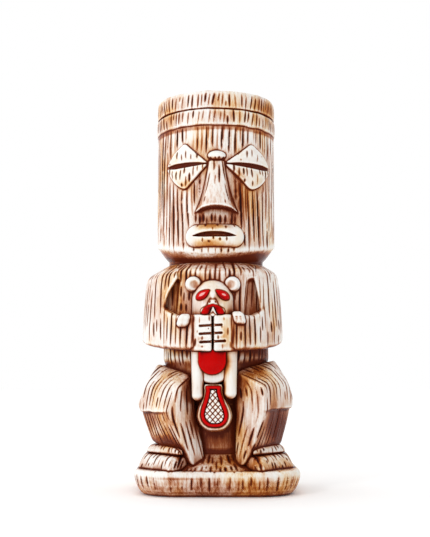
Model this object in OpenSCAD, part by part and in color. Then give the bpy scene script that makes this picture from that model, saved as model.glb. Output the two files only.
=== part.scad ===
// Tiki mug: a crouching carved figure that hugs a beaver.
// Millimetres. +Z is up, the figure faces -Y, and "left" is the -X side, on the left of someone facing it.
// The origin is on the table, in the middle of the plinth.

/* [Vessel] */
// Height of the rim above the table
mug_h = 230; // [224:1:240]
// Outer radius of the head
head_r = 35.4; // [34.6:0.2:36.4]
// Thickness of the ceramic wall
wall = 4.5; // [3.5:0.5:5]
// Outer radius of the neck
neck_r = 28.2; // [27:0.2:29]
// Outer radius of the chest behind the arms
chest_r = 34; // [33:0.2:35]
// Outer radius of the waist
waist_r = 31.3; // [30.6:0.1:32]
// Outer radius between the legs
hip_r = 30; // [29:0.2:30.4]
// How far the chest stands out of the wall between the arms
chest_t = 3.6; // [3:0.2:4]
// Thickness of the floor of the drinking vessel
floor_t = 6; // [4:0.5:8]

/* [Plinth] */
// Half of the plinth's width
plinth_x = 47.9; // [47:0.1:50]
// Half of the plinth's depth
plinth_y = 47.5; // [47.2:0.1:50]
// Radius of the plinth's corners in plan
plinth_corner = 26; // [20:1:30]
// Height of the plinth's rim
plinth_h = 13.5; // [12:0.5:14]

/* [Head relief] */
// Height of each of the two rings round the rim
band_h = 10; // [8:0.5:11]
// How far the rings stand out of the wall behind them
band_t = 2.3; // [1.5:0.1:2.5]
// How far the eyelids stand out of the face
lid_t = 1.7; // [1:0.1:2.5]
// Angle between the middle of the face and the middle of an eye
eye_turn = 32; // [30:0.5:34]
// How far the lips stand out of the face
lip_t = 3; // [2:0.1:4]

/* [Beaver] */
// Sideways place of the beaver's middle line
grip_x = -1.8; // [-2.5:0.1:0]
// Radius of the beaver's head
beaver_r = 11.5; // [10.5:0.1:12]
// How far the coloured panels stand out
panel_t = 0.7; // [0.4:0.1:1]

/* [Hidden] */
$fn = 96;

cream = [0.90, 0.83, 0.72];
white = [0.95, 0.93, 0.90];
tan = [0.80, 0.62, 0.42];
red = [0.80, 0.06, 0.04];

// Levels up the mug
hip_z = 72;
waist_z = 82;
chest_z = 86;
shoulder_z = 128.5;
neck_z = 134.5;
chin_side_z = 142;
chin_front_z = 134;
eye_z = 187.3;
band_z = mug_h - 2 * band_h;
knee_z = 45.5;
mound_z = plinth_h + 9;
bore_r = head_r - wall;
finger_levels = [84.4, 89, 93.4];
hands_top = 99.6;
hands_bottom = 79.4;
tail_face = -43.6;
spine_gap = 1.5;
lips_x = -0.8;
big = 200;
edge = 1;

// A convex block through a list of corners, rounded to the edge radius
module block(corners, r = edge) {
  hull()
    for (p = corners)
      translate(p) sphere(r, $fn = 8);
}

// An outline drawn in the figure's front view, pushed in from the front to the depth y1
module front_extrude(y0, y1) {
  translate([0, y1, 0]) rotate([90, 0, 0]) linear_extrude(y1 - y0) children();
}

// What is modelled on the left, on either side: side is 1 for the right and -1 for the left
module on_side(side) {
  mirror([side > 0 ? 1 : 0, 0, 0]) children();
}

// An outline pressed onto the head at an angle from the middle of the face
module on_face(turn, z) {
  rotate([0, 0, turn]) translate([0, -10, z]) rotate([90, 0, 0]) linear_extrude(40) children();
}

// A ring of rectangular section
module ring(r0, r1, z0, z1) {
  rotate_extrude() translate([r0, z0]) square([r1 - r0, z1 - z0]);
}

// The outer form of the vessel without relief: foot, hips, waist, chest, shoulders, neck and head
module trunk() {
  rotate_extrude() polygon([
    [0, 0], [hip_r, 0], [hip_r, hip_z], [waist_r, hip_z + 3], [waist_r, waist_z],
    [chest_r, chest_z], [chest_r, shoulder_z - 10], [chest_r + 1.6, shoulder_z - 3],
    [chest_r + 0.8, shoulder_z], [neck_r + 1.5, neck_z - 2.5], [neck_r, neck_z - 1], [neck_r, neck_z + 0.5],
    [head_r - 1, chin_side_z], [head_r, chin_side_z + 2], [head_r, band_z],
    [head_r - band_t, band_z], [head_r - band_t, mug_h], [0, mug_h],
  ]);
}

// The drink's space: it follows the outer form one wall inside it
module cavity() {
  rotate_extrude() polygon([
    [0, floor_t], [hip_r - wall - 4, floor_t], [hip_r - wall, floor_t + 4], [hip_r - wall, hip_z],
    [waist_r - wall, hip_z + 4], [waist_r - wall, waist_z], [chest_r - wall, chest_z + 3],
    [chest_r - wall, shoulder_z - 12], [neck_r - wall, neck_z - 4], [neck_r - wall, neck_z + 3],
    [bore_r, chin_side_z + 6], [bore_r, mug_h + 1], [0, mug_h + 1],
  ]);
}

module vessel() {
  color(cream) difference() {
    trunk();
    cavity();
  }
}

// One layer of the plinth's plan, inset from the full size
module plinth_layer(z, inset) {
  r = plinth_corner - inset;
  for (sx = [-1, 1], sy = [-1, 1])
    translate([sx * (plinth_x - plinth_corner), sy * (plinth_y - plinth_corner), z])
      cylinder(r = r, h = 0.01, $fn = 64);
}

// A slab with a rounded side, and a mound on it that rises to the vessel
module plinth() {
  color(tan) difference() {
    union() {
      hull() {
        plinth_layer(0, 4);
        plinth_layer(1.2, 2.2);
        plinth_layer(5, 0.6);
        plinth_layer(9, 0);
        plinth_layer(plinth_h - 1.5, 0.4);
        plinth_layer(plinth_h - 0.01, 2.2);
      }
      mound();
    }
    translate([0, 0, -1]) cylinder(r = hip_r, h = 40);
  }
}

// The ground that rises from the plinth's rim to the vessel
module mound() {
  foot_r = plinth_y - 5;
  rotate_extrude() polygon([[0, 1], [foot_r, 1], [foot_r, plinth_h], [hip_r, mound_z], [0, mound_z]]);
}

// A ring round the rim with bevelled edges
module headband(z0, z1, out) {
  r0 = head_r - band_t;
  r1 = head_r + out;
  rotate_extrude() polygon([
    [r0, z0], [r1 - 0.8, z0], [r1, z0 + 1], [r1, z1 - 1], [r1 - 0.8, z1], [r0, z1],
  ]);
}

module upper_headband() {
  color(cream) headband(mug_h - band_h, mug_h, 0.1);
}

module lower_headband() {
  color(cream) headband(band_z, mug_h - band_h, 0.4);
}

// Outlines of an eye's two lids round its slit, with the inner corner on the -X side
module upper_lid_outline() {
  polygon([
    [13.4, 0.4], [12, 3.6], [9, 7], [5, 10], [0.6, 12],
    [-6, 7.2], [-13.6, 0.8], [-7, 1], [0, 1.5], [7, 1.3],
  ]);
}

module lower_lid_outline() {
  polygon([
    [13.4, -0.8], [12.4, -4.6], [9, -9], [4.5, -12.6], [0.6, -14.6],
    [-3, -12.6], [-8, -7], [-13.6, -0.6], [-7, -0.9], [0, -1.6], [7, -1.8],
  ]);
}

// A lid on the head: side is 1 for the right eye and -1 for the left
module eyelid(side) {
  color(white) intersection() {
    on_side(-side) on_face(eye_turn, eye_z) children();
    ring(head_r, head_r + lid_t, eye_z - 20, eye_z + 20);
  }
}

// The bump between the eyes
module brow_bead() {
  color(white) difference() {
    hull()
      translate([0.4, -head_r, eye_z + 4.4]) scale([5, 3.4, 2.9]) sphere(1, $fn = 28);
    trunk();
  }
}

// A wedge that widens from the bridge down to the nostrils, with a hollow under it
module nose() {
  bridge_z = eye_z + 0.5;
  tip_z = 160.5;
  color(cream) difference() {
    block([
      [-3, -head_r - 1.2, bridge_z], [3.2, -head_r - 1.2, bridge_z],
      [-7, -44, tip_z], [7.4, -44, tip_z],
      [-10.8, -38.5, tip_z - 0.6], [11.2, -38.5, tip_z - 0.6],
      [-11.2, -32.5, tip_z], [11.6, -32.5, tip_z], [-3, -34, bridge_z], [3, -34, bridge_z],
    ]);
    translate([0.2, -30, tip_z - 11.6]) rotate([90, 0, 0]) cylinder(r = 11.8, h = 30);
    trunk();
  }
}

// A raised oval with a slit across it
module lips() {
  lip_z = 145.4;
  half_w = 10.4;
  half_h = 6.7;
  color(white) difference() {
    intersection() {
      translate([lips_x, 0, lip_z]) hull()
        for (x = [-half_w, half_w])
          translate([x, -25, 0]) rotate([90, 0, 0]) cylinder(r = half_h, h = 30, $fn = 48);
      ring(head_r, head_r + lip_t, lip_z - 10, lip_z + 10);
    }
    translate([lips_x, -30, lip_z + 0.3]) rotate([90, 0, 0]) linear_extrude(30)
      polygon([[-11.8, 0], [-8, 1.2], [0, 1.8], [8, 1.2], [11.8, -0.4], [8, -1], [0, -0.8], [-8, -1]]);
  }
}

// The jaw's lower edge, which hangs lower in front than at the sides
module chin() {
  drop = chin_side_z + 2 - chin_front_z;
  color(cream) difference() {
    intersection() {
      ring(neck_r - 1, head_r, chin_front_z, chin_side_z + 2);
      multmatrix([[1, 0, 0, 0], [0, 1, 0, 0], [0, drop / head_r, 1, chin_side_z + 2], [0, 0, 0, 1]])
        translate([-big / 2, -big, 0]) cube([big, big, big]);
    }
    trunk();
  }
}

// The plate between the arms that the beaver is held against; under its top a pit is left beside each arm
module chest_form() {
  half_w = 18.6;
  top_w = 25;
  pit_z = 121;
  low_z = hands_top + 0.4;
  intersection() {
    rotate_extrude() polygon([
      [chest_r - 2, low_z], [chest_r + chest_t, low_z], [chest_r + chest_t, shoulder_z - 7],
      [chest_r + chest_t - 0.8, shoulder_z - 3], [chest_r + 1.2, shoulder_z + 1], [chest_r - 2, shoulder_z + 1],
    ]);
    front_extrude(-60, 0) polygon([
      [-half_w, 90], [half_w, 90], [half_w, pit_z], [top_w, pit_z], [top_w, 140],
      [-top_w, 140], [-top_w, pit_z], [-half_w, pit_z],
    ]);
  }
}

module chest() {
  color(cream) difference() {
    chest_form();
    trunk();
    for (side = [-1, 1]) on_side(side) upper_arm();
  }
}

// The figure's seat, a swelling behind the legs that is parted down the middle
module seat() {
  front_y = 19.6;
  part_w = 1.6;
  color(cream) difference() {
    rotate_extrude() polygon([
      [hip_r - 1, mound_z - 6], [35, mound_z - 6], [37.5, 30], [38.6, 42], [37.6, 55],
      [34.6, 65], [31.5, 71], [hip_r - 1, 71],
    ]);
    translate([-big / 2, front_y - big, 0]) cube([big, big, big]);
    translate([-part_w / 2, 34, 0]) cube([part_w, 20, 60]);
    trunk();
    mound();
  }
}

// Upper arm: a slab of the shoulders' ring behind a slanting front edge
module upper_arm() {
  intersection() {
    rotate_extrude() polygon([
      [chest_r - 2, 92], [41.4, 92], [40.2, 108], [39.2, 119],
      [38, shoulder_z - 3], [35.6, shoulder_z + 1], [chest_r - 2, shoulder_z + 1],
    ]);
    union() {
      front_extrude(-60, 0) polygon([[-60, 80], [-31, 80], [-30, 97], [-21.8, 121], [-20, 140], [-60, 140]]);
      translate([-60, -0.01, 80]) cube([60 - spine_gap, 60, 60]);
    }
  }
}

// Forearm: from the elbow round to the hand, sloping down to the front
module forearm() {
  hull()
    for (p = [
      [-40.2, -3, 88.6], [-40, -3, 98.6], [-37, -18, 86.5], [-37.4, -18, 98.4],
      [-24, -37, 82.4], [-24.6, -36.8, 98.4], [-13, -43, 80.6], [-13, -43, 98.6],
      [-28, -2, 88], [-28, -2, 99], [-10, -32, 82.4], [-10, -32, 98.6],
    ])
      translate(p) sphere(edge, $fn = 8);
}

// The elbow and the arm's lower edge round the back
module elbow() {
  intersection() {
    rotate_extrude() polygon([[waist_r - 2, 86], [40.6, 87], [41.4, 88.4], [41.4, 93], [chest_r - 2, 93]]);
    translate([-60, -4, 80]) cube([60 - spine_gap, 60, 30]);
  }
}

// An arm, cut clear of the vessel and of its hand
module arm(side) {
  middle = side * grip_x;
  color(cream) on_side(side) difference() {
    union() {
      upper_arm();
      forearm();
      elbow();
    }
    trunk();
    translate([-middle - 11.8, -60, 70]) cube([40, 60, 50]);
  }
}

// Half of the clasped hands, from the middle line outwards; cuts part its four fingers
module hand(side) {
  color(cream) translate([grip_x, 0, 0]) on_side(side) difference() {
    block([
      [-1.3, -45.6, 80.4], [-1.3, -45.6, 98.6], [-8, -45.4, 80.6], [-8, -45.4, 98.4],
      [-10.7, -43, 81], [-10.7, -43, 98], [-10.7, -39, 81], [-10.7, -39, 98],
      [-1.3, -39, 80.6], [-1.3, -39, 98.6],
    ]);
    for (z = finger_levels)
      translate([-8, -50, z - 0.45]) cube([7.7, 4.6, 0.9]);
    translate([-0.3, -60, 70]) cube([10, 60, 40]);
  }
}

// From the hip over the thigh to the squared knee
module thigh_form() {
  difference() {
    block([
      [-30, -5, 72], [-25, 15, 72], [-17.2, -31.5, 65.5], [-12.5, -28, 65], [-38.6, -19, 60.3],
      [-20.2, -41.6, 58.8], [-43.8, -9, 50], [-41.8, -17, 46], [-26.4, -41, 46],
      [-41, 13, 52], [-36, 17, 46], [-11, -28, 46],
      [-41.8, -17, 44], [-26.4, -41, 44], [-11, -28, 44], [-36, 17, 44],
    ]);
    translate([-big / 2, -big / 2, 0]) cube([big, big, knee_z]);
  }
}

// From under the knee down to the ankle, set back from the knee's outer side
module shin_form() {
  difference() {
    block([
      [-37, -15, 47], [-25.2, -39.8, 47], [-11, -28, 47], [-35, 16, 47],
      [-34.2, -12, 28.8], [-32, 16, 28.8], [-18.6, -38.8, 28.4], [-13, -37, 21], [-8, -28, 20], [-30, 16, 20],
    ]);
    translate([-big / 2, -big / 2, knee_z]) cube([big, big, big]);
  }
}

// The roll of flesh between the shin and the foot
module ankle_form() {
  difference() {
    block([
      [-19.6, -38.6, 23], [-38.2, -14, 23], [-34.6, -14, 26.6], [-19.2, -37.6, 26.6],
      [-34, 16, 23], [-32, 16, 26.6], [-14, -26, 23], [-14, -26, 26.6],
    ]);
    shin_form();
  }
}

// The foot's own block, which spreads out over the plinth to its rim
module foot_form() {
  block([
    [-24, -43.6, 14], [-42.6, -18, 14], [-42, 8, 14], [-30, 17.4, 14], [-16, -34, 14],
    [-23.6, -40.2, 20.4], [-39, -15, 21], [-39, 8, 21], [-30, 17.4, 21], [-16, -34, 21],
  ]);
}

module thigh(side) {
  color(cream) on_side(side) difference() {
    thigh_form();
    trunk();
  }
}

module shin(side) {
  color(cream) on_side(side) difference() {
    shin_form();
    trunk();
    mound();
  }
}

module ankle(side) {
  color(cream) on_side(side) difference() {
    ankle_form();
    trunk();
    mound();
  }
}

// The foot ends in four toes, parted by three cuts
module foot(side) {
  toe_turns = [-66, -54, -42];
  color(cream) on_side(side) difference() {
    foot_form();
    for (turn = toe_turns)
      rotate([0, 0, turn]) translate([-0.4, -60, 0]) cube([0.8, 19, 40]);
    trunk();
    ankle_form();
    shin_form();
    mound();
    translate([-big / 2, -big / 2, 0]) cube([big, big, plinth_h]);
  }
}

// The skull: a dome on an upright barrel, half sunk in the chest
module skull(grow = 0) {
  translate([grip_x, -34.5, 108.6]) sphere(beaver_r + grow);
  translate([grip_x, -34.5, 98]) cylinder(r = beaver_r + grow, h = 10.6);
}

// What the beaver is held against
module backing() {
  trunk();
  chest_form();
}

module beaver_head() {
  color(cream) difference() {
    skull();
    backing();
    hands_space();
  }
}

// Everything below the hands' top
module hands_space() {
  translate([-big / 2, -big, 0]) cube([big, big, hands_top]);
}

module muzzle_form() {
  hull() {
    translate([grip_x, -43, 112.6]) sphere(1.6, $fn = 16);
    for (x = [-3.2, 3.2])
      translate([grip_x + x, -44, 102.4]) sphere(3.2, $fn = 20);
  }
}

// The open mouth, an arch in the lower half of the muzzle
module mouth_form() {
  front_extrude(-60, -45.4) translate([grip_x, 98]) polygon([
    [-5.6, 0], [-5.4, 2.6], [-3.4, 5], [0, 6.4], [3.4, 5], [5.4, 2.6], [5.6, 0],
  ]);
}

module beaver_muzzle() {
  color(white) difference() {
    muzzle_form();
    skull();
    mouth_form();
    hands_space();
  }
}

module beaver_mouth() {
  lips_face = -46.8;
  color(red) difference() {
    intersection() {
      muzzle_form();
      mouth_form();
      translate([-big / 2, lips_face, 0]) cube([big, big, big]);
    }
    hands_space();
    beaver_teeth();
  }
}

module beaver_teeth() {
  color(white) translate([grip_x - 1.4, -47.4, hands_top]) cube([2.8, 2, 3.2]);
}

// Two slanting almond eyes that stand out of the skull
module beaver_eyes() {
  color(red) difference() {
    intersection() {
      skull(panel_t);
      for (side = [-1, 1])
        translate([grip_x + side * 5.4, 0, 110.6]) rotate([0, side * 32, 0]) front_extrude(-60, -36)
          polygon([for (a = [0:20:340]) [3.7 * cos(a), 2.1 * sin(a)]]);
    }
    skull();
    muzzle_form();
  }
}

// A round ear with a dimple
module ear(side) {
  x = grip_x + side * 11;
  color(cream) difference() {
    translate([x, -34, 117.4]) rotate([90, 0, 0]) cylinder(r = 4.3, h = 8);
    translate([x + side * 0.6, -45, 116.8]) sphere(4);
    backing();
    skull();
  }
}

// A forepaw that rests on the forearm
module paw(side) {
  x = grip_x + side * 15.6;
  color(cream) difference() {
    block([
      [x - 2, -43.4, 94.6], [x + 2, -43, 95], [x - 2.2, -43.4, 98], [x + 2.2, -42.6, 98.4],
      [x - side, -38, 100.4], [x - 2.4, -37, 97], [x + 2.4, -37, 97],
    ], 1.2);
    backing();
    skull();
    on_side(side) forearm();
    translate([grip_x - 11.9, -60, 80]) cube([23.8, 60, 19.6]);
  }
}

// The beaver's trunk, behind the hands and down to the tail
module beaver_body() {
  body_face = -41.6;
  hands_back = -38;
  color(white) difference() {
    union() {
      front_extrude(body_face, -28) hull() {
        translate([grip_x, 71.5]) circle(9.2, $fn = 48);
        translate([grip_x - 9.2, 71.5]) square([18.4, hands_bottom - 71.5]);
      }
      translate([grip_x - 10, hands_back, hands_bottom]) cube([20, 8, hands_top - hands_bottom]);
    }
    trunk();
    for (side = [-1, 1]) beaver_leg_form(side);
  }
}

module beaver_belly_panel() {
  r = 7.4;
  top_z = 79;
  color(red) front_extrude(-41.6 - panel_t, -41.6) translate([grip_x, 74]) union() {
    circle(r, $fn = 48);
    translate([-r, 0]) square([2 * r, top_z - 74]);
  }
}

module beaver_leg_form(side) {
  x = grip_x + side * 9.4;
  heel_z = 55.6;
  hull() {
    translate([x, -41, heel_z]) sphere(3.6, $fn = 24);
    translate([x, -39.4, 75.6]) sphere(3.4, $fn = 24);
    translate([x, -28, heel_z]) sphere(3.2, $fn = 24);
    translate([x, -28, 75.6]) sphere(3.2, $fn = 24);
  }
}

// A hind leg that hangs beside the belly
module beaver_leg(side) {
  color(white) difference() {
    beaver_leg_form(side);
    trunk();
    on_side(side) {
      thigh_form();
      shin_form();
    }
  }
}

// The tail's paddle in the front view: a big round end and a small neck
module tail_outline(inset) {
  hull() {
    translate([grip_x + 0.9, 45.6]) circle(8.4 - inset, $fn = 48);
    translate([grip_x + 0.2, 57]) circle(4 - inset, $fn = 48);
  }
}

module beaver_tail() {
  rim = -42;
  flare = 1.2;
  color(tan) difference() {
    union() {
      front_extrude(tail_face, rim) tail_outline(0);
      front_extrude(rim, -28) tail_outline(-flare);
    }
    trunk();
    beaver_body();
    for (side = [-1, 1]) {
      beaver_leg_form(side);
      on_side(side) {
        thigh_form();
        shin_form();
      }
    }
  }
}

module beaver_tail_border() {
  color(red) front_extrude(tail_face - panel_t, tail_face) difference() {
    tail_outline(0.8);
    tail_outline(3);
  }
}

// The tail's middle, cut across both ways into lozenge scales
module beaver_tail_scales() {
  pitch = 3.4;
  cut_w = 0.5;
  color(white) front_extrude(tail_face - panel_t / 2, tail_face) difference() {
    tail_outline(3);
    for (turn = [-40, 40], i = [-4:4])
      translate([grip_x + 0.6, 49]) rotate(turn) translate([i * pitch - cut_w / 2, -20]) square([cut_w, 40]);
  }
}

vessel();
plinth();
upper_headband();
lower_headband();
eyelid(-1) upper_lid_outline();  // left_upper_eyelid
eyelid(-1) lower_lid_outline();  // left_lower_eyelid
eyelid(1) upper_lid_outline();  // right_upper_eyelid
eyelid(1) lower_lid_outline();  // right_lower_eyelid
brow_bead();
nose();
lips();
chin();
chest();
seat();
arm(-1);  // left_arm
arm(1);  // right_arm
hand(-1);  // left_hand
hand(1);  // right_hand
thigh(-1);  // left_thigh
thigh(1);  // right_thigh
shin(-1);  // left_shin
shin(1);  // right_shin
ankle(-1);  // left_ankle
ankle(1);  // right_ankle
foot(-1);  // left_foot
foot(1);  // right_foot
beaver_head();
beaver_muzzle();
beaver_mouth();
beaver_teeth();
beaver_eyes();
ear(-1);  // beaver_left_ear
ear(1);  // beaver_right_ear
paw(-1);  // beaver_left_paw
paw(1);  // beaver_right_paw
beaver_body();
beaver_belly_panel();
beaver_leg(-1);  // beaver_left_leg
beaver_leg(1);  // beaver_right_leg
beaver_tail();
beaver_tail_border();
beaver_tail_scales();
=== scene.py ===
"""A glazed tiki mug: a crouching wood-grained idol that holds a beaver, sculpted round its CAD frame."""

import math

import bmesh
import bpy
import numpy as np
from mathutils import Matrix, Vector, kdtree

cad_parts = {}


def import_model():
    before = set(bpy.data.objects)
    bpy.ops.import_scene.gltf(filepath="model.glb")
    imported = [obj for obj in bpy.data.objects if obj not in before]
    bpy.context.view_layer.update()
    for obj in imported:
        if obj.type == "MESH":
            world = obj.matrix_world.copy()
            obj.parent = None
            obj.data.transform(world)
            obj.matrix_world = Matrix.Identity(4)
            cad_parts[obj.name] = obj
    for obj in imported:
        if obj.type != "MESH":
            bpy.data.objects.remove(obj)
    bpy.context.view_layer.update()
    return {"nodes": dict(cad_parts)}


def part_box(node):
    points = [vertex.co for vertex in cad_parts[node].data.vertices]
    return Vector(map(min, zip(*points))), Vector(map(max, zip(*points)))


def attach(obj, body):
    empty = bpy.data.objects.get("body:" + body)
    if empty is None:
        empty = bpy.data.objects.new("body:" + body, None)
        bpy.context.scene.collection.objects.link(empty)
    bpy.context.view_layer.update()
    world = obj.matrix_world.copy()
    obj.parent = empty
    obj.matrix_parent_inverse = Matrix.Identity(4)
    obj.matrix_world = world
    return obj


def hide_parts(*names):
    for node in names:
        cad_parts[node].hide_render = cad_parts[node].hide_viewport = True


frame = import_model()

MM = 0.001
VOXEL = 0.42     # spacing of the sculpted pieces' vertices, mm
RNG = np.random.RandomState(7)


# ---------------------------------------------------------------- the frame's own sizes, in mm

def mm_box(node):
    lo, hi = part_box(node)
    return np.array(lo) / MM, np.array(hi) / MM


RIM_Z = mm_box("upper_headband")[1][2]
BAND_Z = mm_box("upper_headband")[0][2]
FACE_TOP_Z = mm_box("lower_headband")[0][2]
HEAD_R = mm_box("chin")[1][0]
CHIN_SIDE_Z = mm_box("chin")[1][2] - 2
CHIN_FRONT_Z = mm_box("chin")[0][2]
EYE_Z = (mm_box("left_upper_eyelid")[0][2] + mm_box("left_lower_eyelid")[1][2]) / 2
NOSE_LO, NOSE_HI = mm_box("nose")
LIPS_LO, LIPS_HI = mm_box("lips")
BEAD_LO, BEAD_HI = mm_box("brow_bead")
HAND_LO, HAND_HI = mm_box("left_hand")
GRIP_X = HAND_HI[0] + 0.3
PLINTH_LO, PLINTH_HI = mm_box("plinth")
HIP_R = 30.0
WAIST_R = 31.3
CHEST_R = 34.0
NECK_R = 28.2
WALL = 4.5
FLOOR_Z = 6.0
PLINTH_RIM_Z = 13.5
MOUND_Z = PLINTH_HI[2]
BEAVER_R = 11.6
FINGER_LEVELS = (93.6, 89.2, 84.6)
LATTICE_PITCH = 2.25


# ---------------------------------------------------------------- implicit forms: negative inside, in mm

def smax(a, b, k):
    h = np.clip(0.5 + 0.5 * (a - b) / k, 0, 1)
    return b + (a - b) * h + k * h * (1 - h)


def smin(a, b, k):
    return -smax(-a, -b, k)


def step(lo, hi, v):
    t = np.clip((v - lo) / (hi - lo), 0, 1)
    return t * t * (3 - 2 * t)


def radius(p):
    return np.hypot(p[:, 0], p[:, 1])


def turn_of(p):
    """Angle round the mug from the middle of its front, positive to the +X side."""
    return np.arctan2(p[:, 0], -p[:, 1])


def ellipsoid(p, centre, radii):
    q = (p - centre) / radii
    n = np.linalg.norm(q, axis=1) + 1e-9
    return n * (n - 1) / np.linalg.norm(q / radii, axis=1).clip(1e-9)


def capsule(p, a, b, r0, r1=None):
    a, b = np.array(a, float), np.array(b, float)
    r1 = r0 if r1 is None else r1
    h = np.clip((p - a) @ (b - a) / ((b - a) @ (b - a)), 0, 1)
    return np.linalg.norm(p - a - h[:, None] * (b - a), axis=1) - (r0 + (r1 - r0) * h)


def outline(points, smooth=8):
    """A closed curve through the points, as a dense polygon."""
    pts = np.array(points, float)
    t = np.linspace(0, 1, smooth, endpoint=False)[:, None]
    out = []
    for i in range(len(pts)):
        a, b, c, d = (pts[(i + j) % len(pts)] for j in (-1, 0, 1, 2))
        square = (2 * a - 5 * b + 4 * c - d) * t**2
        cube = (3 * b - a - 3 * c + d) * t**3
        out.append(0.5 * (2 * b + (c - a) * t + square + cube))
    return np.concatenate(out)


def polygon(u, v, pts):
    """Signed distance in the plane from (u, v) to a polygon."""
    best = np.full(u.shape, 1e9)
    inside = np.zeros(u.shape, bool)
    for (x0, y0), (x1, y1) in zip(pts, np.roll(pts, -1, axis=0)):
        ex, ey = x1 - x0, y1 - y0
        h = np.clip(((u - x0) * ex + (v - y0) * ey) / (ex * ex + ey * ey + 1e-12), 0, 1)
        best = np.minimum(best, (u - x0 - h * ex) ** 2 + (v - y0 - h * ey) ** 2)
        crosses = (y0 > v) != (y1 > v)
        if y1 != y0:
            inside ^= crosses & (u < x0 + (v - y0) * ex / ey)
    return np.where(inside, -1, 1) * np.sqrt(best)


def hull_planes(points, least=0.0):
    """The planes of a convex hull as (normals, offsets), without those whose area is under the least."""
    bm = bmesh.new()
    for c in points:
        bm.verts.new(c)
    bmesh.ops.convex_hull(bm, input=bm.verts)
    planes = {}
    for f in bm.faces:
        area = f.calc_area()
        if area < 1e-6:
            continue
        n = np.array(f.normal)
        offset = float(n @ np.array(f.verts[0].co))
        key = next((k for k in planes if np.dot(k[:3], n) > 0.9995 and abs(k[3] - offset) < 0.1), None)
        if key is None:
            key = (*n, offset)
        planes[key] = planes.get(key, 0) + area
    bm.free()
    kept = np.array([k for k, a in planes.items() if a >= least])
    return kept[:, :3], kept[:, 3]


def node_points(*nodes):
    out = []
    for n in nodes:
        mesh = frame["nodes"][n].data
        co = np.zeros(len(mesh.vertices) * 3, np.float32)
        mesh.vertices.foreach_get("co", co)
        out.append(co.reshape(-1, 3) / MM)
    return np.unique(np.round(np.concatenate(out), 3), axis=0)


def block_form(points, least, rounding, grow=0.0):
    """A convex block with rounded edges round the points."""
    normals, offsets = hull_planes(points, least)

    def form(p):
        d = p @ normals.T - (offsets + grow)
        top = d.max(axis=1, keepdims=True)
        return top[:, 0] + rounding * np.log(np.exp((d - top) / rounding).sum(axis=1))
    return form


def reaching_out(form, reach):
    """The form drawn out sideways."""
    return lambda p: np.minimum(form(p), form(p - np.array([reach, 0, 0])))


def ankle_form(name, side):
    """The ankle's block, drawn outwards and ended at the shin."""
    block = reaching_out(block_form(node_points(name + "_ankle"), 12, 0.7, 0.2), side * 2.2)
    return lambda p: smax(block(p), (18.6, 20.4)[side > 0] - side * p[:, 0], 0.6)


def lathe_radius(levels, blend):
    """Outer radius by height: straight runs between (z, r) levels, softened over a few mm."""
    z = np.arange(levels[0][0] - 10, levels[-1][0] + 10, 0.25)
    r = np.interp(z, [a for a, _ in levels], [b for _, b in levels])
    n = max(1, int(blend / 0.25))
    kernel = np.hanning(2 * n + 1)[1:-1] if n > 1 else np.ones(1)
    r = np.convolve(np.pad(r, len(kernel) // 2, mode="edge"), kernel / kernel.sum(), mode="valid")
    return lambda height: np.interp(height, z, r)


# ---------------------------------------------------------------- noise

CORNERS = np.array([(i, j, k) for i in (0, 1) for j in (0, 1) for k in (0, 1)])     # of a unit cell


def value_noise(p, seed):
    """Smooth noise between -1 and 1 on a unit lattice, from a hash of each lattice point."""
    base = np.floor(p).astype(np.int64)
    f = p - base
    f = f * f * (3 - 2 * f)
    total = np.zeros(len(p))
    for corner in CORNERS:
        x, y, z = (base + corner).T
        n = x * 73856093 ^ y * 19349663 ^ z * 83492791
        n = (n ^ seed * 2654435761) & 0xFFFFFFFF
        n = (n ^ (n >> 15)) * 2246822519 & 0xFFFFFFFF
        n = (n ^ (n >> 13)) * 3266489917 & 0xFFFFFFFF
        w = np.where(corner, f, 1 - f)
        total += w[:, 0] * w[:, 1] * w[:, 2] * (n / 2**31 - 1)
    return total


# ---------------------------------------------------------------- meshing

def gradient(form, p, e=0.05):
    g = np.empty_like(p)
    for i in range(3):
        d = np.zeros(3)
        d[i] = e
        g[:, i] = (form(p + d) - form(p - d)) / (2 * e)
    return g


def onto(form, p, rounds=3):
    """Moves points onto the form's surface and returns them with the outward normals."""
    for _ in range(rounds):
        g = gradient(form, p)
        p = p - (form(p) / (g * g).sum(axis=1).clip(0.05))[:, None] * g
    g = gradient(form, p)
    return p, g / np.linalg.norm(g, axis=1, keepdims=True).clip(1e-6)


EDGES = [(a, b) for a in range(8) for b in range(a + 1, 8) if np.abs(CORNERS[a] - CORNERS[b]).sum() == 1]
BLOCK = 4       # the field is worked out in blocks of this many samples a side, and only near the surface


def sample_field(form, lo, counts, size):
    """The form's values on a grid. Far from the surface a whole block takes its centre's value."""
    blocks = np.ceil(np.array(counts) / BLOCK).astype(int)
    ijk = np.stack(np.meshgrid(*[np.arange(n) for n in blocks], indexing="ij"), -1).reshape(-1, 3)
    centre = in_chunks(form, lo + size * (ijk * BLOCK + (BLOCK - 1) / 2))
    field = np.empty((len(ijk), BLOCK**3), np.float32)
    field[:] = centre[:, None]
    near = np.flatnonzero(np.abs(centre) < 1.3 * math.sqrt(3) * size * BLOCK / 2 + 0.6)
    cell = np.stack(np.meshgrid(*[np.arange(BLOCK)] * 3, indexing="ij"), -1).reshape(-1, 3)
    p = lo + size * (ijk[near][:, None] * BLOCK + cell[None]).reshape(-1, 3)
    field[near] = in_chunks(form, p).reshape(-1, BLOCK**3)
    field = field.reshape(*blocks, BLOCK, BLOCK, BLOCK).transpose(0, 3, 1, 4, 2, 5).reshape(blocks * BLOCK)
    return field[:counts[0], :counts[1], :counts[2]]


def in_chunks(form, p, most=300000):
    return np.concatenate([form(p[i:i + most]) for i in range(0, len(p), most)])


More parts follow.
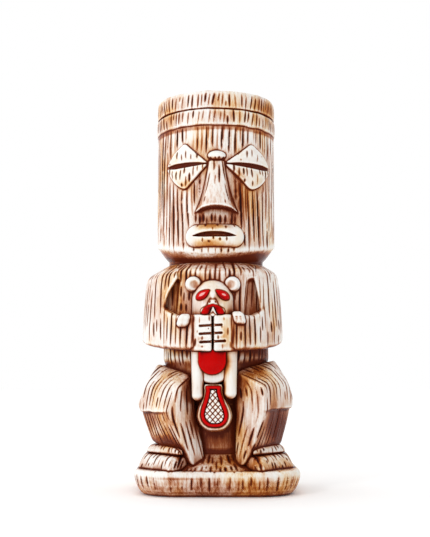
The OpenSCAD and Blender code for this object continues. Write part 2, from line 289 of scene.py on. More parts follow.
def surface_net(form, lo, hi, size):
    """Meshes where the form is zero, by naive surface nets. Returns points and quads."""
    lo = np.array(lo, float) - 1.5 * size
    counts = np.ceil((np.array(hi, float) + 1.5 * size - lo) / size).astype(int) + 1
    field = sample_field(form, lo, counts, size)
    inside = field < 0
    cells = counts - 1
    total = np.zeros(cells, np.int8)
    for i, j, k in CORNERS:
        total += inside[i:i + cells[0], j:j + cells[1], k:k + cells[2]]
    ijk = np.argwhere((total > 0) & (total < 8))
    index = np.full(cells, -1, np.int64)
    index[tuple(ijk.T)] = np.arange(len(ijk))
    values = np.stack([field[tuple((ijk + c).T)] for c in CORNERS], axis=1)
    points, hits = np.zeros((len(ijk), 3)), np.zeros(len(ijk))
    for a, b in EDGES:
        va, vb = values[:, a], values[:, b]
        cross = (va < 0) != (vb < 0)
        t = np.where(cross, va / np.where(cross, va - vb, 1), 0)[:, None]
        points += np.where(cross[:, None], CORNERS[a] + t * (CORNERS[b] - CORNERS[a]), 0)
        hits += cross
    points = lo + size * (ijk + points / hits[:, None])
    quads = []
    for axis in range(3):
        u, v = (axis + 1) % 3, (axis + 2) % 3
        low = [slice(None)] * 3
        high = [slice(None)] * 3
        low[axis], high[axis] = slice(0, -1), slice(1, None)
        flips = np.argwhere(inside[tuple(low)] != inside[tuple(high)])
        across = flips[:, [u, v]]
        flips = flips[((across > 0) & (across < cells[[u, v]])).all(axis=1)]
        ring = []
        for du, dv in ((-1, -1), (0, -1), (0, 0), (-1, 0)):
            c = flips.copy()
            c[:, u] += du
            c[:, v] += dv
            ring.append(index[tuple(c.T)])
        ring = np.stack(ring, axis=1)
        out = inside[tuple(flips.T)]
        quads.append(np.where(out[:, None], ring, ring[:, ::-1]))
    return points, np.concatenate(quads)


def lathe_grid(turns, rows):
    """Quads of a closed lathe: rows of points round the axis, and one point at each end."""
    n, m = len(turns), rows
    i, j = np.meshgrid(np.arange(m - 1), np.arange(n), indexing="ij")
    a, b = i * n + j, i * n + (j + 1) % n
    quads = np.stack([a, b, b + n, a + n], axis=-1).reshape(-1, 4)
    first, last = m * n, m * n + 1
    j = np.arange(n)
    start = np.stack([np.full(n, first), (j + 1) % n, j], axis=1)
    end = np.stack([np.full(n, last), (m - 1) * n + j, (m - 1) * n + (j + 1) % n], axis=1)
    return quads, np.concatenate([start, end])


# ---------------------------------------------------------------- the mug's forms

def rounded_box(p, centre, half, r):
    q = np.abs(p - centre) - (np.array(half, float) - r)
    return np.linalg.norm(np.maximum(q, 0), axis=1) + np.minimum(q.max(axis=1), 0) - r


def wobble(p, across, along, seed, amount):
    """Uneven, hand-carved surface: noise that is stretched along the height."""
    return amount * value_noise(p / np.array([across, across, along]), seed)


BODY_R = lathe_radius([(0, HIP_R), (72, HIP_R), (76, WAIST_R), (84, WAIST_R), (88, CHEST_R), (116, CHEST_R),
                       (127, NECK_R), (150, NECK_R)], 2.0)
CAVITY_R = lathe_radius([(z, r - WALL) for z, r in (
    (FLOOR_Z, HIP_R), (72, HIP_R), (76, WAIST_R), (82, WAIST_R), (89, CHEST_R), (113, CHEST_R), (127, NECK_R),
    (137.5, NECK_R), (148, HEAD_R), (RIM_Z + 5, HEAD_R))], 4.0)


def head_radius(turn, z):
    """The head with its cheeks, the hollows beside the nose and the jaw that dips in front."""
    front = np.clip(np.cos(turn), 0, 1) ** 1.2
    chin = CHIN_SIDE_Z - (CHIN_SIDE_Z - CHIN_FRONT_Z - 0.9) * front
    crease = 134.5 - 3.8 * front
    lip = 1.1
    t = np.clip((z - crease) / (chin - crease), 0, 1)
    under = NECK_R + (HEAD_R - lip - NECK_R) * t ** 0.8
    over = HEAD_R - lip + lip * np.sqrt(1 - (1 - np.clip((z - chin) / 2.4, 0, 1)) ** 2)
    r = np.where(z < chin, under, over)
    s = HEAD_R * turn
    beside_nose = sum(np.exp(-((s - side * 10) / 4.5) ** 2 - ((z - 172) / 13) ** 2) for side in (-1, 1))
    above_lips = np.exp(-((z - 154.8) / 3) ** 2 - (s / 12) ** 4)
    r = r - 1.1 * beside_nose - 0.7 * above_lips
    r = np.where(z > FACE_TOP_Z, np.minimum(r, HEAD_R - 2.3), r)
    return np.where(z < crease, NECK_R, r)


def vessel_radius(turn, z):
    r = np.where(z < 133, BODY_R(z), NECK_R)
    return np.where(z > 130.5, np.maximum(head_radius(turn, z), np.where(z < 133, BODY_R(z), 0)), r)


def vessel_form(p):
    r = radius(p)
    shell = np.maximum(r - vessel_radius(turn_of(p), p[:, 2]), p[:, 2] - RIM_Z + 1.2)
    hollow = np.maximum(r - CAVITY_R(p[:, 2]), FLOOR_Z - p[:, 2])
    return np.maximum(np.maximum(shell, -hollow), 3 - p[:, 2])


def ring_form(r0, r1, z0, z1, rounding, seed):
    centre = np.array([(r0 + r1) / 2, (z0 + z1) / 2])
    half = np.array([(r1 - r0) / 2, (z1 - z0) / 2]) - rounding

    def form(p):
        q = np.stack([radius(p), p[:, 2] + wobble(p, 5, 40, seed, 0.35)], axis=1)
        q[:, 0] -= 0.25 * (1 - ((q[:, 1] - centre[1]) / (half[1] + rounding)) ** 2)
        q = np.abs(q - centre) - half
        return np.linalg.norm(np.maximum(q, 0), axis=1) + np.minimum(q.max(axis=1), 0) - rounding
    return form


def plinth_form(p):
    half = (PLINTH_HI - PLINTH_LO)[:2] / 2
    corner = 26.0
    q = np.abs(p[:, :2] - np.array([0.7, 0])) - (half - corner)
    plan = np.linalg.norm(np.maximum(q, 0), axis=1) + np.minimum(q.max(axis=1), 0) - corner
    z = p[:, 2] + wobble(p, 9, 60, 3, 0.3)
    side = plan + np.interp(z, [0, 1.2, 3, 6, 9, 11.5, 13.5, 15], [7.0, 5.0, 3.5, 2.0, 1.1, 0.8, 1.6, 3.2])
    r = radius(p)
    rise = np.clip((r - HIP_R) / 13.5, 0, 1)
    top = PLINTH_RIM_Z + 0.4 + (MOUND_Z - PLINTH_RIM_Z) * (1 - rise) ** 1.05
    f = smax(side, (z - top) * 0.85, 1.2)
    f = smax(f, 0.02 - p[:, 2], 0.5)
    pocket = np.maximum(r - (HIP_R - 1.4), 4.4 - p[:, 2])
    return np.maximum(f, -pocket)


ARM_SHIFT = 2.0     # both arms stand a little towards -X


def arm_form(side):
    """Shoulder, upper arm, elbow and forearm on one side, wrapped round the chest to the spine."""
    hand_edge = abs(side * GRIP_X + (HAND_HI - HAND_LO)[0]) if side > 0 else abs(HAND_LO[0])
    pit_low, pit_high = 99.6, 121.0
    reach_low, reach_high, bow = (29.2, 21.8, 2.4) if side < 0 else (25.2, 21.6, 0.6)
    upper_r = lathe_radius([(80, 41.6), (92, 41.9), (100, 41.4), (108, 41.0), (117, 40.2), (124, 39.2),
                            (135, 38)], 4)

    def form(p):
        u, y, z = side * p[:, 0], p[:, 1], p[:, 2]
        r = radius(p) + wobble(p, 4, 60, 11, 0.25)
        outer = r + ARM_SHIFT * p[:, 0] / r
        around = np.degrees(np.arctan2(u, -y))
        edge = np.interp(z, [pit_low, pit_high, 131], [reach_low, reach_high, reach_high])
        edge = edge + bow * np.sin(math.pi * np.clip((z - pit_low) / (pit_high - pit_low), 0, 1))
        roof = (z - (131.8 - 0.62 * (r - NECK_R))) * 0.85
        low = np.interp(around, [12, 24, 40, 60, 80, 95], [79.6, 80.2, 81.0, 82.4, 84.8, 85.6])
        upper = smax(outer - upper_r(z), roof, 2.4)
        upper = smax(upper, low - z, 2.8)
        upper = smax(upper, np.where(y < 0, (edge - u) * 0.9, -50), 1.4)
        fore_r = np.interp(around, [10, 18, 26, 36, 44, 52, 60], [46.2, 46.1, 45.2, 43.4, 41.3, 39.2, 36])
        fore = smax(outer - fore_r, low - z, 2.8)
        fore = smax(fore, z - pit_low - 0.3 * np.clip(around - 30, 0, 20), 1.8)
        fore = smax(fore, hand_edge - 0.9 - u, 0.6)
        f = smin(upper, fore, 1.6)
        f = smax(f, 0.12 - u, 2.0)
        return np.maximum(f, 29.5 - r)
    return form


CHEST_BACK = -14.5      # where the chest ends, behind the arms


def chest_form(p):
    """The chest plate between the arms, set back in the hollows of the armpits."""
    z = p[:, 2]
    r = radius(p) + wobble(p, 4, 60, 12, 0.3)
    left_edge = np.interp(z, [100, 121], [22.6, 20.4])
    right_edge = np.interp(z, [100, 121], [15.8, 18.0])
    into = np.abs(p[:, 0]) - np.where(p[:, 0] < 0, left_edge, right_edge)
    hollow = step(-0.8, 0.8, into) * (1 - step(119.5, 121.8, z + 0.15 * (into - 2.8) ** 2))
    face = 38.3 - 2.2 * hollow + 0.35 * np.clip(-24 - p[:, 0], 0, 7)
    roof = (z - (131.6 - 0.62 * (r - NECK_R))) * 0.85
    f = smax(r - face, roof, 1.6)
    reach = np.where(p[:, 0] < 0, 33, 27.5)
    f = smax(f, np.abs(p[:, 0]) - reach - (22.8 - reach) * step(119, 121.5, z), 0.8)
    f = smax(f, 97 - z, 0.5)
    return np.maximum(np.maximum(f, p[:, 1] - CHEST_BACK), 29.5 - r)


def seat_form(p):
    """The figure's rounded back, in two lobes."""
    half = np.array([24.2, 23.6, 27.2])
    lobes = [ellipsoid(p, np.array([side * 15.5, 14.6, 45]), half) for side in (-1, 1)]
    return np.maximum(np.maximum(smin(lobes[0], lobes[1], 1.2), 26.5 - radius(p)), 3 - p[:, 1])


# Corners of the squared legs, for a leg on +X: what the waist, knee and shin turn on
LEGS = {
    "left": dict(
        hip_out=(34.4, -13.5, 73.0), hip_in=(16.6, -32.5, 67.0),
        knee_out=(40.6, -19.6, 61.2), knee_in=(20.6, -41.8, 60.2), side=(46.0, -10, 50.0),
        under_out=(44.0, -18, 45.0), under_in=(27.4, -41.6, 45.4), recess=(43.6, -12.5, 46.5),
        ridge=(18.8, -40.6, 28.2), ankle_out=(37.0, -14.0, 28.0),
        inner_top=(14.6, -33.4, 66.0), inner_low=(11.2, -32, 46), foot=(12.6, -38.0, 16),
        heel=(5.6, -33, 16)),
    "right": dict(
        hip_out=(35.0, -11.5, 75.6), hip_in=(14.0, -31.4, 69.6),
        knee_out=(42.4, -18, 61.4), knee_in=(26.6, -41.6, 60.2), side=(45.4, -10, 54.0),
        under_out=(44.8, -14.5, 47.6), under_in=(27.4, -40.8, 46.2), recess=(44.2, -8.5, 49),
        ridge=(20.8, -40.2, 26.6), ankle_out=(38.4, -10.5, 26.4),
        inner_top=(11.4, -34.6, 68.4), inner_low=(11.0, -34, 46), foot=(14.6, -38.6, 16),
        heel=(10.4, -34.0, 16)),
}
THIGH = ("hip_out", "hip_in", "knee_out", "knee_in", "side", "under_out", "under_in", "inner_top",
         "inner_low")
SHIN = ("knee_in", "under_in", "ridge", "foot", "heel", "inner_top", "recess", "ankle_out")
LEG_BACK = 16.9


def leg_form(name):
    """Thigh and squared knee in one block, and the shin, flush with the knee in front, in another."""
    side = -1 if name == "left" else 1
    thigh = [LEGS[name][corner] for corner in THIGH]
    thigh += [(25, LEG_BACK - 2, 72), (41, 12, 54), (36, LEG_BACK, 46), (12, LEG_BACK, 46)]
    shin = [LEGS[name][corner] for corner in SHIN]
    shin += [(x, LEG_BACK - 1, z) for x, z in ((32, 28), (34, 47), (12, 47), (12, 19))]
    mirror = np.array([side, 1, 1])
    blocks = [block_form(np.array(points) * mirror, 4, 0.5) for points in (thigh, shin)]

    def form(p):
        return smin(blocks[0](p), blocks[1](p), 0.8) + wobble(p, 5, 14, 21, 0.3)
    return form


def nose_form(p):
    tip_z, bridge_z = NOSE_LO[2], NOSE_HI[2]
    x = p[:, 0] - (NOSE_LO[0] + NOSE_HI[0]) / 2
    z = p[:, 2]
    t = np.clip((bridge_z - z) / (bridge_z - tip_z), 0, 1)
    face_y = -(HEAD_R + 1.4 + (abs(NOSE_LO[1]) - HEAD_R - 1.2) * t ** 1.15) + 0.035 * x**2
    half = 4.3 + 0.9 * t + 4.3 * t ** 3.4
    flank = (np.abs(x) - half - 0.42 * (p[:, 1] - face_y)) * 0.88
    arch = tip_z + 0.2 + 2.3 * (1 - (x / 11.6) ** 2)
    f = smax(face_y - p[:, 1], flank, 1.5)
    f = smax(f, arch - z, 0.8)
    f = smax(f, z - bridge_z - 0.6, 1.6)
    return np.maximum(np.maximum(f, 31.5 - radius(p)), p[:, 1] + 20)


def lid_form(side, points, raised):
    """An eyelid pressed from an outline on the head's surface: u runs away from the nose."""
    curve = outline(points, 6)
    turn, stretch = (math.radians(29.9), 1.0) if side < 0 else (math.radians(34.4), 1.17)

    def form(p):
        u = HEAD_R * (turn_of(p) * side - turn) / stretch
        flat = polygon(u, p[:, 2] - EYE_Z, curve)
        pillow = raised * (0.62 + 0.38 * step(0, 5.5, -flat))
        f = smax(flat, radius(p) - HEAD_R - pillow, 0.9)
        return np.maximum(f, 32 - radius(p))
    return form


def lips_form(p):
    centre_x = (LIPS_LO[0] + LIPS_HI[0]) / 2
    centre_z = (LIPS_LO[2] + LIPS_HI[2]) / 2
    half_h = (LIPS_HI - LIPS_LO)[2] / 2 - 0.2
    half_w = (LIPS_HI - LIPS_LO)[0] / 2 - half_h
    s = HEAD_R * turn_of(p) - centre_x
    z = p[:, 2] - centre_z
    d = np.hypot(np.maximum(np.abs(s) - half_w + 0.1, 0), z + 0.002 * s**2) - half_h
    r = radius(p)
    slit_h = 1.5 * (1 - np.clip(np.abs(s + 0.2) / 11.6, 0, 1) ** 3)
    slit = np.maximum(np.abs(z - 0.5 + 0.006 * s**2) - slit_h, np.abs(s) - 11.6)
    raised = 3.1 * np.sqrt(np.clip(1 - (1 - np.clip(-d / 4.2, 0, 1)) ** 2, 0, 1)) + 0.2
    f = smax(d, r - HEAD_R - raised, 0.6)
    f = smax(f, -np.maximum(slit, HEAD_R + 0.5 - r), 0.6)
    return np.maximum(f, 32.5 - r)


def bead_form(p):
    centre = (BEAD_LO + BEAD_HI) / 2
    return ellipsoid(p, np.array([centre[0], -HEAD_R + 0.4, centre[2] + 0.2]), np.array([5.2, 3.6, 2.9]))


def hand_form(side):
    """A clasped hand: a thick block whose front has three straight gaps between its fingers."""
    width = (HAND_HI - HAND_LO)[0] + 0.4
    centre = np.array([GRIP_X + side * (0.7 + width / 2), -41.9, (HAND_LO[2] + HAND_HI[2]) / 2])
    half = [width / 2, 5.1, (HAND_HI - HAND_LO)[2] / 2]

    def form(p):
        q = p.copy()
        q[:, 1] -= 0.02 * (p[:, 0] - GRIP_X) ** 2
        f = rounded_box(q, centre, half, 1.3) + wobble(p, 5, 5, 31, 0.22)
        u = side * (p[:, 0] - GRIP_X)
        for z, end in zip(FINGER_LEVELS, (4.8 if side > 0 else 7.0, 4.8 if side > 0 else 7.0, 6.6)):
            slot = np.hypot(np.maximum(np.maximum(-u, u - end), 0), p[:, 2] - z - 0.05 * side * u) - 0.65
            f = smax(f, -np.maximum(slot, p[:, 1] + 45.6 - 0.02 * u**2), 0.3)
        return f
    return form


def beaver_head_form(p):
    q = (p - np.array([GRIP_X, -35.6, 108.2])) / np.array([BEAVER_R, 10.4, 11.6])
    q[:, 2] = np.maximum(q[:, 2], 0)
    f = (np.linalg.norm(q, axis=1) - 1) * 10.6
    f = smax(f, 98.6 - p[:, 2], 0.4)
    for side in (-1, 1):
        socket = ellipsoid(p, np.array([GRIP_X + side * 5.6, -46.6, 109.2]), np.array([4.6, 2.2, 4.4]))
        f = smax(f, -socket, 1.2)
    return f


def muzzle_form(p):
    bridge = capsule(p, (GRIP_X, -42.4, 113.6), (GRIP_X, -44.2, 105.2), 1.5, 2.5)
    top = (GRIP_X, -43.6, 105.4)
    cheeks = [capsule(p, top, (GRIP_X + side * 3.8, -43.4, 101.2), 2.5, 3.1) for side in (-1, 1)]
    f = smin(smin(cheeks[0], cheeks[1], 1.5), bridge, 1.6)
    for side in (-1, 1):
        nostril = np.linalg.norm(p - np.array([GRIP_X + side * 1.8, -46.6, 106.7]), axis=1) - 0.8
        f = smax(f, -nostril, 0.25)
    return f


def mouth_outline(p):
    return polygon(p[:, 0] - GRIP_X, p[:, 2], outline([
        (-6.4, 98), (-6.0, 101.6), (-4.0, 104.0), (0, 105.4), (4.0, 104.0), (6.0, 101.6), (6.4, 98),
        (0, 97)], 4))


def mouth_form(p):
    return smax(muzzle_form(p) - 0.35, mouth_outline(p), 0.3)


def teeth_form(p):
    x = np.abs(p[:, 0] - GRIP_X - 0.2)
    spike = (x - 2.1 + 0.45 * (p[:, 2] - 99.4)) * 0.92
    f = smax(muzzle_form(p) - 0.8, spike, 0.4)
    f = smax(f, p[:, 2] - 103.9, 0.4)
    return f


def eye_form(side):
    """A slanting almond with its point up at the snout."""
    tilt = math.radians(33)
    centre_x, centre_z = GRIP_X + side * 5.5, 110.8
    curve = outline([(-4.6, 0), (-2.3, 1.7), (0.6, 2.5), (3.3, 1.8), (4.5, 0), (3.3, -1.8), (0.6, -2.5),
                     (-2.3, -1.7)], 5)
    c, s = math.cos(tilt), math.sin(tilt)

    def form(p):
        u = (p[:, 0] - centre_x) * side
        v = p[:, 2] - centre_z
        flat = polygon(u * c - v * s, u * s + v * c, curve)
        pillow = 0.35 + 1.0 * step(0, 2.4, -flat)
        return np.maximum(smax(flat, beaver_head_form(p) - pillow, 0.4), p[:, 1] + 39.5)
    return form


def ear_form(side):
    x = GRIP_X + side * 11.0

    def form(p):
        disc = ellipsoid(p, np.array([x, -37.2, 117.2]), np.array([4.5, 4.2, 4.4]))
        dish = np.linalg.norm(p - np.array([x - side * 1.9, -47.2, 116.1]), axis=1) - 7.8
        return smax(disc, -dish, 0.5)
    return form


def paw_form(side):
    x = GRIP_X + side * (15.9 if side < 0 else 14.6)
    low = 93.0 if side < 0 else 94.4

    def form(p):
        q = p.copy()
        q[:, 0] += side * 0.25 * (p[:, 2] - 97)
        palm = rounded_box(q, np.array([x, -42.0, low + 3.4]), [3.5, 4.3, 3.6], 2.5)
        for gap in (-1.1, 1.1):
            cut = np.hypot(q[:, 0] - x - gap, p[:, 1] + 46.7) - 0.7
            palm = smax(palm, -np.maximum(cut, p[:, 2] - low - 4), 0.3) if side > 0 else palm
        return palm
    return form


def beaver_body_form(p):
    u = p[:, 0] - GRIP_X
    flat = np.hypot(u, np.minimum(p[:, 2] - 71.5, 0)) - 10.2
    f = smax(flat, -41.3 - p[:, 1], 1.6)
    return np.maximum(f, np.maximum(p[:, 2] - 80.4, p[:, 1] + 28))


def belly_form(p):
    u = p[:, 0] - (GRIP_X - 0.3)
    flat = np.hypot(u, np.minimum(p[:, 2] - 74.1, 0)) - 7.6
    pillow = 0.7 + 1.5 * step(0, 7, -flat)
    return np.maximum(smax(flat, -42.4 - pillow - p[:, 1], 0.5), np.maximum(p[:, 2] - 80.4, p[:, 1] + 38))


def beaver_leg_form(side):
    x = (-10.1, 7.8)[side > 0]
    r = (3.5, 3.7)[side > 0]
    heel = (55.3, 56.6)[side > 0]

    def form(p):
        front = np.interp(p[:, 2], [heel, 66, 74], [-40.6, -39.6, -38.6])
        q = np.stack([p[:, 0] - x, np.minimum(p[:, 1] - front, 0), np.minimum(p[:, 2] - heel, 0)], axis=1)
        f = np.linalg.norm(q, axis=1) - r - 0.02 * (p[:, 2] - 66)
        return np.maximum(f, np.maximum(p[:, 2] - 84, p[:, 1] + 28))
    return form


TAIL_TOP = 60.4
TAIL_LOW = 37.4
TAIL_SIDE = [(3.6, TAIL_TOP), (4.1, 57.5), (4.9, 54), (6.1, 50.6), (7.3, 47.2), (7.7, 43.8), (6.6, 40.4),
             (3.8, 38.0)]


def tail_flat(p):
    """Signed distance to the red border's outer edge, seen from the front."""
    side = [(x + 0.15 * (TAIL_TOP - z) / 4, z) for x, z in TAIL_SIDE]
    other = [(-x + 0.15 * (TAIL_TOP - z) / 4, z) for x, z in reversed(TAIL_SIDE)]
    return polygon(p[:, 0] - GRIP_X - 0.3, p[:, 2], outline(side + [(0.5, TAIL_LOW)] + other, 5))


def tail_form(p):
    neck = np.maximum(np.abs(p[:, 0] - GRIP_X - 0.3) - 3.6, np.abs(p[:, 2] - 59) - 3.4)
    flat = smin(tail_flat(p), neck, 1.5) - np.interp(p[:, 2], [43, 54], [1.4, 0.6])
    face = 0.5 * step(0, 2.2, -flat)
    flare = 0.9 * step(-41, -36, p[:, 1])
    f = smax((flat - flare) * 0.95, -42.9 - face - p[:, 1], 0.9)
    return np.maximum(f, np.maximum(p[:, 1] + 27, p[:, 2] - TAIL_TOP - 0.7))


def tail_border_form(p):
    flat = tail_flat(p)
    band = np.abs(flat + 1.35) - 1.35
    return np.maximum(smax(band, -43.4 - 0.75 * step(0, 1.1, -band) - p[:, 1], 0.3), p[:, 1] + 42)


def tail_lattice(p):
    """Distance to the nearest of the crossing lines that mark the tail's scales."""
    lattice = np.full(len(p), 9.0)
    for turn in (-42, 42):
        c, s = math.cos(math.radians(turn)), math.sin(math.radians(turn))
        u = (p[:, 0] - GRIP_X) * c + (p[:, 2] - 47) * s
        lattice = np.minimum(lattice, np.abs((u / LATTICE_PITCH) % 1 - 0.5) * LATTICE_PITCH)
    return lattice


def tail_scales_form(p):
    flat = tail_flat(p) + 2.7
    lattice = tail_lattice(p)
    face = -43.9 - 0.2 * step(0, 2, -flat) + 0.3 * (1 - step(0.05, 0.3, lattice))
    return np.maximum(smax(flat, face - p[:, 1], 0.2), p[:, 1] + 42)


# ---------------------------------------------------------------- the sculpted pieces

CREAM, WHITE, RED = "stained_cream_glaze", "white_glaze", "red_glaze"


def no_ink(p):
    return np.zeros(len(p))


class Piece:
    """One sculpted form: where it is, what it replaces, and how its grain is cut and stained.

    Stain-and-shade spots are darker stain and painted shade, lighter where the amount is below zero,
    as in the painted highlights on the beaver's eyes; ambers are spots of warmer stain. Each is
    (x, z, half width, half height, amount) in mm. Ink is a darkness worked out from place. Seam is how far
    stain spreads from a neighbour, and joins names the neighbours that the piece runs into with no seam.
    """

    def __init__(self, name, form, nodes, slot=CREAM, cuts=(), size=VOXEL, box=None, margin=8.0, ink=no_ink,
                 stain_and_shade_spots=(), ambers=(), seam=1.1, joins=()):
        self.name = name
        self.form = form
        self.nodes = nodes
        self.slot = slot
        self.cuts = cuts
        self.size = size
        self.ink = ink
        self.stain_and_shade_spots = stain_and_shade_spots
        self.ambers = ambers
        self.seam = seam
        self.joins = joins
        if box is None:
            boxes = [mm_box(n) for n in nodes]
            low = np.min([b[0] for b in boxes], axis=0) - margin
            box = low, np.max([b[1] for b in boxes], axis=0) + margin
        self.lo, self.hi = np.array(box[0], float), np.array(box[1], float)


class Cut:
    """A family of gouge marks: how they run, where, and their spacing, length, width and depth, mm."""

    def __init__(self, flow, where, gap=3.2, length=(6, 20), width=0.62, depth=0.55, tries=500, least=3.0,
                 dark=1.0):
        self.flow = flow
        self.where = where
        self.gap = gap
        self.length = length
        self.width = width
        self.depth = depth
        self.tries = tries
        self.least = least
        self.dark = dark


MARCH = 0.5     # how far apart the points of a path are, mm
# The spread round each cut is stain and also painted shade of the cut.
HALO = 3.4      # how many widths from a cut its stain spreads
PIECES = []


def unit(v):
    return v / np.linalg.norm(v, axis=1, keepdims=True).clip(1e-9)


def march(form, cut, starts):
    """Draws a path along the flow from each start, and returns the paths as lists of points."""
    lengths = RNG.uniform(*cut.length, len(starts))
    p, alive = starts.copy(), np.ones(len(starts), bool)
    trail, ends = [p.copy()], np.ones(len(starts), int)
    for k in range(1, int(cut.length[1] / MARCH)):
        g = gradient(form, p)
        n = unit(g)
        way = cut.flow(p, n)
        t = way - (way * n).sum(axis=1)[:, None] * n
        size = np.linalg.norm(t, axis=1)
        q = p + MARCH * t / size.clip(1e-6)[:, None]
        q = q - (form(q) / (g * g).sum(axis=1).clip(0.2))[:, None] * g
        alive &= (size > 0.3) & cut.where(q, n) & (k * MARCH < lengths)
        if not alive.any():
            break
        p = np.where(alive[:, None], q, p)
        trail.append(p.copy())
        ends[alive] = k + 1
    trail = np.stack(trail, axis=1)
    return [trail[i, :ends[i]] for i in range(len(starts))]


def place_cuts(form, cut, points, normals):
    """Keeps marched paths that stay clear of each other. Each is (points, width, depth, dark)."""
    allowed = np.flatnonzero(cut.where(points, normals))
    if not len(allowed):
        return []
    starts = points[RNG.choice(allowed, min(cut.tries, len(allowed)), replace=False)]
    kept, taken = [], np.zeros((0, 3))
    for path in sorted(march(form, cut, starts), key=len, reverse=True):
        if len(taken):
            gaps = np.sqrt(((path[::2, None] - taken[None]) ** 2).sum(axis=2).min(axis=1))
            close = np.flatnonzero(gaps < cut.gap)
            if len(close):
                path = path[:max(0, close[0] * 2 - 1)]
        if len(path) * MARCH < cut.least:
            continue
        taken = np.concatenate([taken, path[::2]])
        t = np.linspace(0, 1, 2 * len(path) - 1)
        fine = np.stack([np.interp(t, np.linspace(0, 1, len(path)), path[:, i]) for i in range(3)], axis=1)
        taper = np.clip(np.sin(math.pi * np.clip(t * 0.96 + 0.02, 0, 1)), 0.02, 1) ** 0.35
        strength = RNG.uniform(0.6, 1.15)
        kept.append((fine, *(size * strength * taper for size in (cut.width, cut.depth, cut.dark))))
    return kept


def carve(points, normals, paths):
    """Presses the paths into the surface. Returns the moved points, how dark the cut is at each,
    and the stain, with painted shade of the cut, that spreads round it.
    """
    dark, halo_stain_and_shade = np.zeros(len(points)), np.zeros(len(points))
    if not paths:
        return points, dark, halo_stain_and_shade
    samples = np.concatenate([a for a, _, _, _ in paths])
    width, depth, ink = (np.concatenate([path[i] for path in paths]) for i in (1, 2, 3))
    tree = kdtree.KDTree(len(samples))
    for i, c in enumerate(samples):
        tree.insert(c, i)
    tree.balance()
    reach = HALO * width.max()
    cells = set(map(tuple, np.unique(np.floor(samples / reach).astype(int), axis=0)))
    around = [(i, j, k) for i in (-1, 0, 1) for j in (-1, 0, 1) for k in (-1, 0, 1)]
    near = {(a + i, b + j, c + k) for a, b, c in cells for i, j, k in around}
    moved = points.copy()
    for i in [i for i, c in enumerate(map(tuple, np.floor(points / reach).astype(int))) if c in near]:
        _, j, d = tree.find(points[i])
        x = d / width[j]
        if x < HALO:
            bite = 1 - min(1, x) ** 2 * (3 - 2 * min(1, x))
            moved[i] -= normals[i] * depth[j] * bite
            dark[i] = ink[j] * max(0, min(1, (1.35 - x) / 1.05))
            halo_stain_and_shade[i] = ink[j] * (1 - x / HALO) ** 1.5
    return moved, dark, halo_stain_and_shade


def nearest_other(piece, p, reach):
    """Distance from each point to the closest piece that it does not run into, up to the reach."""
    best = np.full(len(p), float(reach))
    for other in PIECES:
        if other is piece or other.name in piece.joins:
            continue
        mask = ((p > other.lo - reach) & (p < other.hi + reach)).all(axis=1)
        if mask.any():
            best[mask] = np.minimum(best[mask], other.form(p[mask]))
    return best


FIELD_STEP = 1.5            # spacing of the coarse grid, mm
FIELD_REACH = 14.0          # and how far from the mug it goes
# These set how far out the painted shade of creases and hollows looks.
NEAR_HEIGHTS = (0.9, 2.4)   # how far out, in mm, the surface looks for what shades it closely
FAR_HEIGHTS = (5.0, 11.0)   # and broadly


def whole_field():
    """The distance to the whole mug on a coarse grid, for the broad shade painted into its hollows."""
    lo = np.array([PLINTH_LO[0], PLINTH_LO[1], 0.0]) - FIELD_REACH
    hi = np.array([PLINTH_HI[0], PLINTH_HI[1], RIM_Z]) + FIELD_REACH
    counts = np.ceil((hi - lo) / FIELD_STEP).astype(int) + 1
    axes = [lo[i] + FIELD_STEP * np.arange(counts[i]) for i in range(3)]
    grid = np.stack(np.meshgrid(*axes, indexing="ij"), -1)
    best = np.full(counts, FIELD_REACH, float)
    for piece in PIECES:
        a = np.maximum(0, np.floor((piece.lo - FIELD_REACH - lo) / FIELD_STEP).astype(int))
        b = np.minimum(counts, np.ceil((piece.hi + FIELD_REACH - lo) / FIELD_STEP).astype(int))
        part = (slice(a[0], b[0]), slice(a[1], b[1]), slice(a[2], b[2]))
        best[part] = np.minimum(best[part], in_chunks(piece.form, grid[part].reshape(-1, 3)).reshape(b - a))

    def sample(p):
        q = np.clip((p - lo) / FIELD_STEP, 0, counts - 1.001)
        i = q.astype(int)
        f = q - i
        total = np.zeros(len(p))
        for c in CORNERS:
            w = np.prod(np.where(c, f, 1 - f), axis=1)
            total += w * best[tuple((i + c).T)]
        return total
    return sample


def openness(distance, height):
    return np.clip(distance / height, 0, 1)


def edge_pairs(faces):
    """Every edge once each way, as two index arrays."""
    a = np.concatenate([f[:, i] for f in faces for i in range(f.shape[1])])
    b = np.concatenate([f[:, (i + 1) % f.shape[1]] for f in faces for i in range(f.shape[1])])
    return np.concatenate([a, b]), np.concatenate([b, a])


def mesh_bend(points, normals, faces, spacing):
    """How far each point stands above its neighbours' middle: positive on ridges, in mm."""
    a, b = edge_pairs(faces)
    count = np.bincount(a, minlength=len(points)).clip(1)
    sums = [np.bincount(a, points[b, i], len(points)) for i in range(3)]
    middle = np.stack(sums, axis=1) / count[:, None]
    bend = ((points - middle) * normals).sum(axis=1) / spacing
    for _ in range(4):
        bend = np.bincount(a, bend[b], len(points)) / count
    return bend


